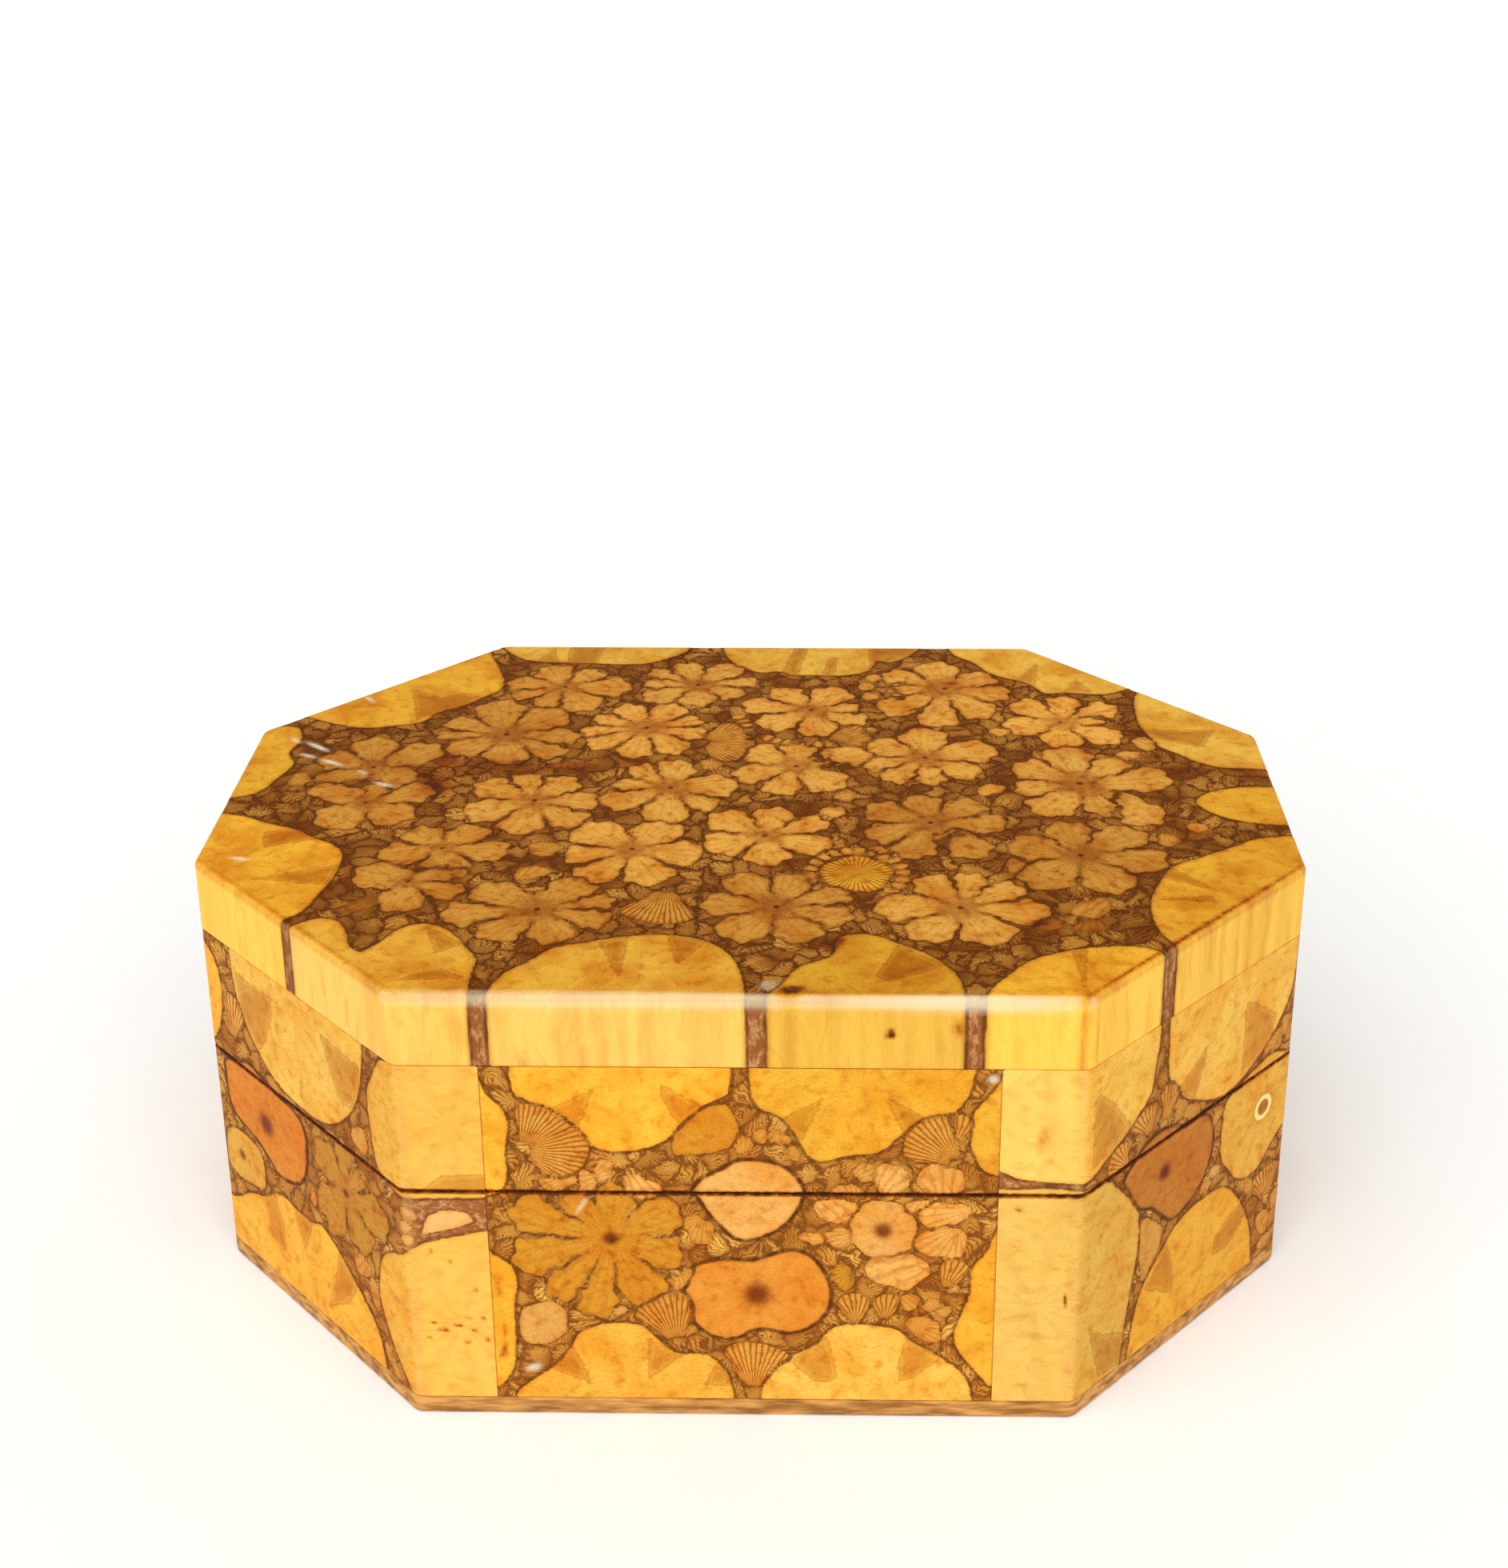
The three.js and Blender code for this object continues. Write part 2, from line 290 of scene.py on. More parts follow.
rightFigure = {
    "slice": (
        ("pale", (-4, 57), 0, (
            (-20, 58), (-20, 40.5), (-8, 39.1), (-6, 37.8), (-3, 37.2), (1.7, 37.1), (4, 38.3),
            (8.6, 40.6), (11.4, 42.5), (13.2, 44.6), (13.6, 47.6), (14.2, 51), (14.3, 58))),
        ("pale", (30, 57), 0, (
            (16.2, 58), (16.4, 49), (16.8, 44.8), (18.2, 42.5), (20.4, 39.9), (24.5, 37.4), (28, 36),
            (31.4, 35.8), (35, 37), (39.8, 39.8), (42, 42.2), (43.6, 44.6), (44.6, 47.8), (45.2, 58))),
        ("yellow", (54, 52), 0, (
            (46.6, 58), (46.8, 49), (47.6, 45), (50, 41), (57, 40), (57, 58))),
        ("pale", (-4, 18), 0, (
            (-20, 34.8), (5, 34.8), (7, 32.6), (9.6, 29.6), (12.2, 25.4), (12.5, 22.4), (11.6, 17),
            (10.4, 10.4), (9.6, 4), (9.2, -2), (-7, -2), (-9, 5), (-20, 4.5))),
        ("yellow", (25, -2), 0, (
            (10.6, -2), (11.4, 5), (12.3, 9.5), (13.4, 12.6), (17.8, 17.2), (20.2, 19.3), (23, 20.3),
            (26, 20.6), (29.8, 20.4), (32.4, 19), (35.5, 15.2), (37.4, 11.8), (38.8, 7.6), (39.7, -2))),
        ("rust", (17.1, 29.9), 1.1, (
            (8.4, 33), (10.4, 34.8), (12.8, 36.3), (16.3, 36.8), (18.8, 36.1), (21, 34.9), (25.4, 34.6),
            (27, 33), (27.7, 30), (27.3, 26.8), (25.6, 23.6), (22, 21.5), (19.4, 21.2), (17.4, 22.8),
            (14.8, 25.4), (12, 26.8), (10.2, 29.8))),
        ("gold", (39.4, 28.9), -1.6, (
            (29.8, 31), (30.4, 34.2), (33.5, 35.4), (37.5, 36.6), (40.4, 37), (43.6, 36), (47.5, 34),
            (48.5, 30), (47, 25), (43.6, 22.8), (41.6, 21.2), (39.6, 19.2), (36.8, 18.7), (34.2, 19.8),
            (32, 22.4), (30.2, 25))),
        ("gold", (54, 12), 0, (
            (58, 37.4), (51.6, 37.2), (50, 34), (50.2, 28), (48.6, 23), (46.8, 18), (46.4, 8),
            (46.6, -2), (58, -2))),
        ("fan", (13.4, 34), 0, (
            (12, 25.2), (14.6, 23.6), (17.4, 20.6), (16.4, 17.2), (13.6, 14.4), (12.7, 18))),
    ),
    "wedges": (
        ((1.6, 38.2), (5.5, 39.6), (9, 41.2), (5.2, 46.4), (2.4, 49.2), (1.5, 48.6)),
        ((33.4, 48.2), (35, 47.6), (40.6, 43.4), (39.6, 39.8), (36, 37.6), (33.4, 38)),
        ((20.2, 40.4), (19.5, 42), (24.6, 45.4), (24.6, 43), (22.5, 38.8)),
        ((14.2, 12.6), (18.6, 17.6), (20.2, 13), (20.6, 8.4)),
        ((29.5, 9.5), (30, 12.4), (35.6, 14.8), (37, 12.2), (33, 9)),
        ((2.5, 13), (5, 10.4), (10, 8), (10, 3), (5, 4)),
    ),
    "flower": (),
    "fan": (
        (13.6, 37.2, 5.4, 112, 34),
        (16.4, 37.4, 6.2, 76, 26),
        (9.2, 34.8, 5.0, 138, 40),
        (42, 12, 6.2, 100, 40),
    ),
    "bit": (
        (28.6, 23.9, 1.2, 1.0, 0, "cream"), (26.8, 22.4, 1.3, 0.8, 10, "fan"),
        (41.6, 8.6, 1.4, 2.2, 20, "fan"), (44.4, 11.4, 1.1, 1.7, -20, "fan"),
        (42.6, 4.6, 1.6, 1.1, 0, "cream"), (37.6, 16.6, 1.0, 1.7, 40, "fan"),
        (40.4, 39, 2.0, 1.0, 35, "fan"), (43.4, 40.6, 1.0, 1.6, 0, "fan"),
        (22.4, 36.6, 2.2, 1.1, -30, "fan"), (28.2, 33, 0.7, 1.5, -20, "fan"),
    ),
    "mark": (
        (-1.2, 19, 0.14, 0.9, 4, 0.8), (-5, 16.4, 1.2, 0.5, 10, 0.2), (-3.8, 13.4, 1.0, 0.5, -8, 0.2),
        (-3.7, 43.8, 0.5, 1.5, -8, 0.3), (-3.1, 40.4, 0.3, 0.5, 0, 0.25),
        (-4.8, 5.4, 0.7, 0.4, 15, 0.2), (-5.7, 33, 0.25, 0.3, 0, 0.6),
    ),
}


def barkRing(across, up, radius, start, stop, count):
    # a stem's bark, broken into a ring of small bits
    halfWidth, halfHeight = 1.0, 0.76
    turns = np.radians(np.linspace(start, stop, count))
    spots = zip(across + radius * np.cos(turns), up + radius * np.sin(turns), np.degrees(turns))
    return tuple((x, y, halfWidth, halfHeight, turn, "tan") for x, y, turn in spots)


topFigure = {
    "slice": (
        ("pale", (-27, 56), 0, (
            (-45, 55), (-41, 48.5), (-38, 46), (-33, 45.3), (-27, 45), (-24, 44.7), (-19, 45),
            (-15, 47.5), (-12.5, 50), (-11.6, 55))),
        ("pale", (8, 57), 0, (
            (-6.8, 56), (-6.5, 50), (-5, 46), (-3, 43.5), (0, 41.7), (3, 42.2), (4.6, 41), (8, 40.8),
            (14, 41), (17, 42.5), (18, 45), (18.6, 46.6), (20.8, 46), (25.4, 51), (27, 56))),
        ("pale", (52, 50), 0, (
            (30, 56), (31, 49), (34, 46), (36, 42.5), (38, 40.5), (41, 39), (43, 37), (44.5, 34.5),
            (48, 34.6), (54, 34.2), (57.5, 36), (64, 41), (50, 58))),
        ("pale", (76, 22), 0, (
            (60, 37), (58.3, 32), (58, 28), (58, 24), (58.8, 20), (60, 16), (62.5, 13.6), (65, 11),
            (68, 9.3), (71, 9), (79, 8.4), (82, 28))),
        ("yellow", (80, -3), 0, (
            (80, 2.6), (72, 3.2), (68, 2.6), (64.6, 1), (63, -1.4), (64, -4), (67, -6.5), (72, -8),
            (80, -8.4))),
        ("yellow", (70, -33), 0, (
            (81, -12), (70, -12), (66, -14.5), (61, -17.5), (57, -20), (55, -23.5), (53.2, -28),
            (52.6, -33), (53.2, -37), (54.4, -39.4), (58, -44), (84, -20))),
        ("yellow", (44, -57), 0, (
            (29.6, -62), (30, -52), (31.2, -49.4), (33.4, -46.6), (36, -43.6), (40, -41.6), (45, -40.3),
            (50, -40.2), (52.4, -41.4), (55, -46), (48, -56))),
        ("yellow", (17, -57), 0, (
            (2.4, -62), (3.2, -52.4), (5, -49.6), (7.2, -45.4), (11.4, -42.6), (12, -38.8), (14, -37.6),
            (17, -38), (20, -40), (23, -42), (25.4, -44.8), (27, -48), (27.5, -52), (28, -62))),
        ("gold", (-15, -57), 0, (
            (-31, -62), (-30.8, -52), (-30.2, -49.4), (-29, -47), (-26.5, -44.5), (-24, -41.5),
            (-20, -40), (-14, -38.3), (-10, -38), (-5, -39.3), (-2, -42), (-0.2, -46), (0.7, -52),
            (1, -62))),
        ("gold", (-44, -54), 0, (
            (-32.8, -60), (-33.2, -48), (-33.2, -44), (-35, -41), (-38, -37), (-41, -35.6), (-44, -37),
            (-46, -40.4), (-47.8, -42.6), (-49.4, -41.4), (-50.8, -37.6), (-52.6, -35), (-55.2, -34.6),
            (-57.4, -36), (-63, -41))),
        ("yellow", (-76, -20), 0, (
            (-81, -5.5), (-71, -7.3), (-68, -9), (-63, -11), (-60, -13.4), (-57.6, -14.8), (-55.6, -17),
            (-55, -20), (-55.4, -25), (-56.4, -29), (-57.4, -32.8), (-60, -35.6), (-65.4, -40.6),
            (-84, -24))),
        ("yellow", (-82, 10), 0, (
            (-80, 21.6), (-70, 21), (-68.6, 17), (-69.4, 12.4), (-68, 9), (-69.4, 4), (-71, 0),
            (-74, -1.6), (-80, -2))),
        ("yellow", (-61, 40), 0, (
            (-42, 57), (-44.6, 49.4), (-43, 44.6), (-41.8, 41), (-40.8, 37), (-41.4, 34.4), (-43.4, 32),
            (-46, 29), (-49.8, 26.2), (-51.2, 23.4), (-55, 21.9), (-60, 21), (-65, 22.5), (-69.8, 24.8),
            (-78, 27), (-64, 50))),
    ),
    "wedges": (
        ((-31.6, 45.2), (-32, 54), (-26, 54), (-27, 45)),
        ((-36.6, 45.8), (-34.4, 50.5), (-33.2, 45.6)),
        ((3.4, 42.2), (5.6, 41), (7.4, 52), (5.2, 52)),
        ((9.8, 40.9), (11.6, 40.9), (12, 47.5), (10.6, 47)),
        ((17.4, 43), (18.6, 46.4), (21, 46), (25.4, 51), (25, 54), (17.2, 54)),
        ((40.5, 39.6), (44.4, 45.6), (43.2, 37)),
        ((47.5, 34.8), (50, 40), (52, 34.8)),
        ((58.6, 21.6), (69, 21.6), (66.4, 15.6), (60, 18.8)),
        ((55.4, -22.8), (57, -20.4), (62, -26.4)),
        ((54, -28.6), (61, -27.6), (61.5, -29)),
        ((41.4, -41.6), (43.2, -41.2), (42.2, -49.5)),
        ((19.6, -40.4), (25.2, -44.8), (22, -46.6), (18, -48.6), (16.8, -47.2)),
        ((-9.6, -38.2), (-4.6, -39.6), (-8, -45)),
        ((-18, -40), (-14.6, -38.6), (-15, -48)),
        ((-40.6, -36.4), (-35.4, -40.6), (-38.4, -42.6)),
        ((-43, -49), (-34, -48.4), (-37, -46.4)),
        ((-55.2, -20.6), (-66, -24.6), (-55.8, -26)),
        ((-59.5, -13.4), (-62, -11), (-67.4, -11.6), (-66.4, -16)),
        ((-55, 35), (-50, 32), (-47, 33.5), (-44, 32), (-46.5, 28.8), (-50.5, 25.6), (-52.4, 24)),
    ),
    "flower": (
        ("dimTan", (-31, 36), (-33, 41), (-28, 40), (-37.5, 37), (-37, 33.5), (-24, 36), (-33, 31),
         (-28, 30.5)),
        ("tan", (-10, 37), (-16, 41), (-12, 42.5), (-6, 42), (-16, 37.5), (-15.5, 33), (-10, 32.5),
         (-5, 34.5), (-3, 38)),
        ("tan", (-17, 21.5), (-20, 27), (-14, 27), (-23, 24), (-24.5, 20.5), (-23, 16.5), (-18, 14.5),
         (-13, 15.5), (-10.5, 20), (-11, 23.5)),
        ("dimTan", (-38, 19), (-45, 22), (-46, 19), (-43, 15), (-37, 13), (-31, 14), (-30, 18),
         (-33, 24.5), (-40, 27)),
        ("tan", (8, 28), (4, 33), (11, 33), (13, 28.5), (14, 25), (3, 24), (9, 22), (0.5, 29.5)),
        ("tan", (29, 36), (28, 42.5), (22, 40), (23, 35.5), (22, 29.5), (34, 39), (36, 34.5),
         (33, 28.5), (27.5, 26)),
        ("tan", (46, 24), (42, 29), (41, 23), (50, 25), (52.5, 28.5), (46, 19), (52, 19.5), (47, 30)),
        ("tan", (25, 12), (25, 18), (32, 14), (19, 15), (18, 10), (21, 6.5), (25.5, 6), (30, 8)),
        ("tan", (6, 9), (1, 13), (6, 13.8), (10.5, 10.5), (14, 12.5), (0, 6.5), (4, 3), (10, 4.5)),
        ("tan", (-12, 2), (-16, 7), (-12, 7.5), (-18, 2.5), (-18.5, -1.5), (-6, 2.5), (-7.5, -2.5),
         (-12, -5)),
        ("tan", (-31, -2), (-37, 1.5), (-33, 3.5), (-28, 2.5), (-25, -2.5), (-26, -7), (-32, -8.5),
         (-37, -5)),
        ("dimTan", (-56, 8), (-57, 14), (-50, 12.5), (-61, 10), (-60, 4), (-53, 5)),
        ("dimTan", (-55, -3), (-60, 1.5), (-54, 1.5), (-49, 0), (-51, -6), (-57.5, -7)),
        ("dimTan", (-42, -16), (-39, -12.5), (-36, -16.5), (-47, -17.5), (-45, -13), (-41, -20)),
        ("dimTan", (-45, -25), (-49, -23.5), (-41, -22.5), (-40, -27), (-45, -29.5)),
        ("tan", (-16, -16), (-21, -12), (-13, -11.5), (-22, -17.5), (-10, -17), (-13.5, -22),
         (-20, -22)),
        ("tan", (2, -12), (-3, -8), (3, -7), (8, -9), (8, -14), (2.5, -17), (-3, -14)),
        ("dimTan", (25, -8), (24, -3), (30, -4), (32.5, -8), (27, -11.5), (19, -5), (30, -15),
         (22.5, -15), (19, -11)),
        ("dimTan", (45, -17), (39, -15), (44, -11), (51, -12.5), (53, -18), (40, -22.5), (48, -23.5)),
        ("tan", (47, 4), (46, 12), (41, 8), (40.5, 2.5), (52, 9), (56.5, 5.5), (42.5, -2.5),
         (50.5, -2.5), (54.5, -5)),
        ("tan", (28, -31), (20.5, -31), (24, -36), (31, -36), (36, -32), (34, -27), (25, -25.5),
         (29.5, -24.5)),
        ("dimTan", (4, -31), (0, -25.5), (6, -25.5), (11, -28), (11, -33), (7, -36.5), (-2.5, -30.5),
         (0, -36)),
        ("dimTan", (-27, -32), (-23, -27), (-19.5, -30), (-20, -34), (-24.5, -37), (-31, -36.5),
         (-36, -33), (-33, -28.5)),
    ),
    "fan": (
        (-8.6, 16.6, 8.4, 0, 66),
        (-10.4, -25.8, 9.6, 262, 36),
        (9.6, 17.4, 7.8, 14, 40),
        (14.5, -22.4, 4.7, 90, 180, "yellow"),
    ),
    "bit": (
        (62, -9, 1.5, 1.3, 0, "tan"), (58, 17, 1.6, 2.3, 10, "tan"), (18, 40, 1.5, 1.3, 0, "tan"),
        (16.6, 36.6, 1.3, 1.4, 0, "tan"), (17.2, 33, 1.4, 1.3, 0, "tan"), (55, 13, 1.8, 1.4, 20, "tan"),
        (39, -35, 2.0, 1.6, 0, "darkPetal"), (36.6, 20.6, 1.6, 1.3, 0, "tan"),
        (17.6, -16, 1.6, 1.0, -30, "tan"), (-6.5, 9.5, 1.6, 1.8, 0, "dimTan"),
        (-27.5, 9, 3.0, 1.0, 6, "darkPetal"), (-36, 8, 3.2, 0.9, -8, "darkPetal"),
        (11.4, -5, 1.8, 1.5, 0, "tan"), (13, 0, 1.5, 1.7, 0, "dimTan"), (34, 2, 2.2, 1.5, 30, "tan"),
        (36, -20, 1.3, 1.9, 0, "dimTan"), (57.5, -12.6, 1.5, 1.8, 0, "dimTan"),
        (-28, -16, 2.2, 2.0, 0, "dimTan"), (-29, -22.5, 2.4, 1.7, 20, "dimTan"),
        (-50, -31, 2.2, 1.6, 50, "darkPetal"), (-66, 4, 1.5, 2.2, 0, "dimTan"),
        (45, -31, 3.0, 2.0, 40, "dimTan"), (44.4, -35.4, 2.4, 1.4, 10, "darkPetal"),
        (-46, 10, 1.6, 1.4, 0, "darkPetal"),
        *barkRing(14.5, -22.4, 6.3, -45, 215, 17),
        *barkRing(-14, 19.5, 12.4, -36, 28, 10),
        *barkRing(8, 26.5, 10.4, 232, 330, 12),
        *barkRing(33, 35, 11.6, 168, 214, 6),
    ),
    "mark": (
        # painted glints: pale streaks off the lacquer at the left of the top
        (-65.6, 14.6, 0.3, 2.0, 52, -0.9), (-66.4, 11.6, 0.3, 1.2, 62, -0.7),
        (-62.4, 9.4, 0.3, 1.6, 60, -0.8), (-53.6, 2.6, 0.3, 1.3, 64, -0.8),
        (-69.4, 16.6, 0.3, 1.0, 46, -0.6), (-57.4, 6.4, 0.25, 0.9, 50, -0.6),
        (-61, 31, 0.3, 1.2, 40, -0.6), (-69, -19.2, 0.3, 1.2, 74, -0.7),
        (18.5, -52, 0.6, 0.5, 0, 1.0, 5.3), (6.4, -50.6, 1.6, 1.0, 10, 0.9),
        (11.6, -40, 0.9, 2.0, -30, 0.7), (3.6, -49.6, 1.0, 0.8, 0, -0.3),
        # painted highlight: pale bands along the front sawn edge, just under the arris
        (-8, -52, 36, 0.9, 0, -0.4, 0.8), (30, -52, 12, 1.1, 0, -0.4, 0.9),
        (27.4, -52, 1.2, 1.0, 0, 0.5, 4.4), (58.45, -35.45, 22, 0.35, 45, 0.6),
        (20, -51.2, 22, 0.25, 0, 0.35), (-58.45, -35.45, 18, 0.3, -45, 0.3),
        (-44, 9, 3.0, 4.2, 40, 0.35), (-33, 8.4, 7.0, 1.6, -4, 0.45), (-47, 3, 2.4, 4.0, 20, 0.4),
        (-12.6, 49.6, 1.4, 4.0, -30, 0.4), (-62, 19, 4.0, 1.6, 10, 0.4), (38, -34.6, 1.2, 0.7, 0, 0.7),
        (62.6, -34, 0.6, 1.6, 45, 0.14), (65, -31.6, 0.5, 1.6, 45, 0.16),
        (66.6, -30, 0.9, 1.6, 45, 0.14),
    ),
}


hiddenSides = {  # mm on the slab's face
    "pitch": 29,  # between the stems along a slab's edges
    "upperHeart": 56,
    "lowerHeart": 0,
    "upperDepth": (15, 18),  # how far those stems reach in, least and most
    "lowerDepth": (14, 17),
    "middle": 28,  # height of the row between them
    "wander": 2,
    "wholeSize": (7, 9),
    "wholePith": 1.3,
    "petals": 8,
    "petalReach": (5.8, 7.2),
    "smallPetals": 7,
    "smallReach": 4.6,
    "smallHeight": 33,
    "fanHeight": 13,
    "fanSize": (8, 10),
    "fanSpread": 42,  # degrees
}


def roundOutline(across, up, halfWidth, halfHeight, draw):
    corners = 14
    turns = np.linspace(0, 2 * math.pi, corners, endpoint=False)
    reach = draw.uniform(0.93, 1.07, corners)
    return tuple(zip(across + halfWidth * reach * np.cos(turns), up + halfHeight * reach * np.sin(turns)))


def petalRing(middle, count, reach, start):
    turns = np.linspace(0, 2 * math.pi, count, endpoint=False) + start
    return zip(middle[0] + reach * np.cos(turns), middle[1] + reach * np.sin(turns))


def plainFigure(left, right, seed):
    # the sides that don't show: halved stems along both edges of the slab, whole ones and flowers between
    side = hiddenSides
    draw = np.random.default_rng(seed)
    count = max(1, round((right - left) / side["pitch"]))
    step = (right - left) / count
    figure = {"slice": [], "wedges": [], "flower": [], "fan": [], "bit": []}
    for i in range(count + 1):
        across = left + i * step
        shift = draw.uniform(-side["wander"], side["wander"], 4)
        upper = (side["upperHeart"], draw.uniform(*side["upperDepth"]), -1)
        lower = (side["lowerHeart"], draw.uniform(*side["lowerDepth"]), 1)
        for up, depth, way in (upper, lower):
            outline = roundOutline(across + shift[way], up, step * 0.5, depth, draw)
            figure["slice"].append(("yellow", (across, up), 0, outline))
            base = up + way * depth * 0.72
            for arm in (-step, step):  # two arms, left and right of the heart
                near = (across + arm * 0.22, base + way * 3)
                far = (across + arm * 0.42, base - way * 2)
                tip = (across + arm * 0.1, up + way * depth * 0.3)
                figure["wedges"].append((near, far, tip))
        middle = (across + shift[2], side["middle"] + shift[3])
        if i % 2:
            start = draw.uniform(0, 1)
            reach = draw.uniform(*side["petalReach"], side["petals"])
            figure["flower"].append(("petal", middle, *petalRing(middle, side["petals"], reach, start)))
        else:
            size = draw.uniform(*side["wholeSize"], 2)
            tone = ("orange", "cream", "gold")[i % 3]
            figure["slice"].append((tone, middle, side["wholePith"], roundOutline(*middle, *size, draw)))
    for i in range(count):
        middle = (left + (i + 0.5) * step, side["smallHeight"])
        petals = petalRing(middle, side["smallPetals"], side["smallReach"], draw.uniform(0, 1))
        figure["flower"].append(("dimPetal", middle, *petals))
        size = draw.uniform(*side["fanSize"])
        figure["fan"].append((middle[0], side["fanHeight"], size, 90, side["fanSpread"]))
    return figure


def smoothRing(points):
    # a smooth closed line through the drawn points, which keeps its sharp corners
    ring = np.array(points, float)
    after = np.roll(ring, -1, 0)
    length = np.hypot(*(after - ring).T)[:, None]
    leaving = (after - ring) / length
    arriving = np.roll(leaving, 1, 0)
    heading = (arriving + leaving) / (np.hypot(*(arriving + leaving).T)[:, None] + 1e-9)
    cornerKeep = 1.5  # the lower, the more of the bends stay sharp
    heading = heading * np.clip(cornerKeep * (arriving * leaving).sum(1, keepdims=True), 0, 1)
    afterHeading = np.roll(heading, -1, 0)
    spans = []
    for t in (0, 0.25, 0.5, 0.75):
        leave = (t - 2 * t ** 2 + t ** 3) * length * heading
        arrive = (t ** 3 - t ** 2) * length * afterHeading
        share = 3 * t ** 2 - 2 * t ** 3
        spans.append(ring * (1 - share) + after * share + leave + arrive)
    return np.stack(spans, axis=1).reshape(-1, 2)


def ringDistance(x, y, ring):
    # distance to a closed outline, below 0 inside it
    best = np.full(len(x), 1e9)
    inside = np.zeros(len(x), bool)
    for (startX, startY), (runX, runY) in zip(ring, np.roll(ring, -1, 0) - ring):
        fromX, fromY = x - startX, y - startY
        along = np.clip((fromX * runX + fromY * runY) / (runX * runX + runY * runY + 1e-12), 0, 1)
        best = np.minimum(best, (fromX - along * runX) ** 2 + (fromY - along * runY) ** 2)
        if abs(runY) > 1e-9:
            inside ^= ((startY > y) != (startY + runY > y)) & (fromX < fromY * runX / runY)
    return np.where(inside, -1, 1) * np.sqrt(best)


def softMin(a, b, width):
    blend = np.clip(0.5 + 0.5 * (b - a) / width, 0, 1)
    return b + (a - b) * blend - width * blend * (1 - blend)


farAway = 9.0  # mm, more than any gap between stems
petalShape = {
    "core": 0.66,  # where the petals have run together, as a share of their distance from the heart
    "plump": 0.56,  # a petal's radius, as a share of the way to the next ones
    "radius": (1.8, 3.7),  # mm, least and most
    "uneven": (0.92, 1.08),
    "root": 0.4,  # a petal starts this share of the way out, and is narrower there
    "taper": 0.45,
    "blend": 0.3,  # mm
    "notches": ((5, 0.26), (8, 0.18)),  # number round a petal, depth in mm
    "cleft": (0.2, 0.4),  # mm, near the heart and what it gains towards the rim
    "cleftWidens": 0.6,  # from this share of the way out
    "cleftStart": 0.5,
    "cleftRise": 0.16,
}
fanEdge = {
    "bow": 0.1,  # the sides reach this share less far than the middle
    "ripple": 0.25,  # mm
    "sideRipple": 0.15,
    "blend": 1.0,
    "hub": 0.18,  # missing at the pith, as a share of the radius
}


# Each shape gives the distance past its outline and past its dark parts, both below 0 inside
def sliceShape(x, y, spec, draw):
    ring, wedges = spec
    dark = np.full(len(x), farAway)
    for wedge in wedges:
        dark = np.minimum(dark, ringDistance(x, y, wedge))
    return ringDistance(x, y, ring), dark


def flowerShape(x, y, petals, draw):
    # plump scalloped lobes that run together round the heart, parted by clefts that open towards the rim
    far = np.hypot(*petals.T).mean()
    radius = np.hypot(x, y)
    found = radius - petalShape["core"] * far
    first = np.full(len(x), farAway)
    second = np.full(len(x), farAway)
    taper = petalShape["taper"]
    for i, (petalX, petalY) in enumerate(petals):
        gaps = np.hypot(*(np.delete(petals, i, 0) - (petalX, petalY)).T)
        size = np.clip(petalShape["plump"] * np.sort(gaps)[:2].mean(), *petalShape["radius"])
        size = size * draw.uniform(*petalShape["uneven"])
        along = (x * petalX + y * petalY) / (petalX ** 2 + petalY ** 2)
        along = np.clip(along, petalShape["root"], 1)
        turn = np.arctan2(y - petalY, x - petalX)
        scallop = sum(depth * np.cos(n * turn + draw.uniform(0, 6)) for n, depth in petalShape["notches"])
        width = size * (1 - taper + taper * along)
        past = np.hypot(x - along * petalX, y - along * petalY) - width + scallop
        found = softMin(found, past, petalShape["blend"])
        second = np.where(past < first, first, np.minimum(second, past))
        first = np.minimum(first, past)
    narrow, gain = petalShape["cleft"]
    opening = narrow + gain * np.clip(radius / far - petalShape["cleftWidens"], 0, 1)
    outside = (radius - petalShape["cleftStart"] * far) * petalShape["cleftRise"]
    cleft = np.minimum(opening - (second - first) / 2, outside)
    return np.maximum(found, cleft), np.full(len(x), farAway)


def fanShape(x, y, spec, draw):
    size, facing, spread = spec
    radius = np.hypot(x, y)
    angle = (np.arctan2(y, x) - facing + math.pi) % (2 * math.pi) - math.pi
    shifts = draw.uniform(0, 6, 2)
    whole = spread >= math.pi  # a full disc has no sides
    bow = 0 if whole else fanEdge["bow"]
    reach = size * (1 - bow * (angle / spread) ** 2) + fanEdge["ripple"] * np.sin(5 * angle + shifts[0])
    past = radius - reach
    if not whole:
        ripple = fanEdge["sideRipple"] * np.sin(radius * 1.5 + shifts[1])
        sides = radius * (np.abs(angle) - spread) + ripple
        past = np.maximum(-softMin(-past, -sides, fanEdge["blend"]), fanEdge["hub"] * size - radius)
    return past, np.full(len(x), farAway)


def turned(x, y, turn):
    return np.array((x * math.cos(turn) + y * math.sin(turn), y * math.cos(turn) - x * math.sin(turn)))


def bitShape(x, y, spec, draw):
    halfWidth, halfHeight, turn = spec
    across, up = turned(x, y, turn)
    angle = np.arctan2(up, across)
    shifts = draw.uniform(0, 6, 2)
    share = np.sqrt((across / halfWidth) ** 2 + (up / halfHeight) ** 2) + 1e-9
    uneven = 1 + 0.09 * np.sin(3 * angle + shifts[0]) + 0.06 * np.sin(5 * angle + shifts[1])
    return np.hypot(x, y) - np.hypot(x, y) / share * uneven, np.full(len(x), farAway)


shapeOf = {"slice": sliceShape, "flower": flowerShape, "fan": fanShape, "bit": bitShape}


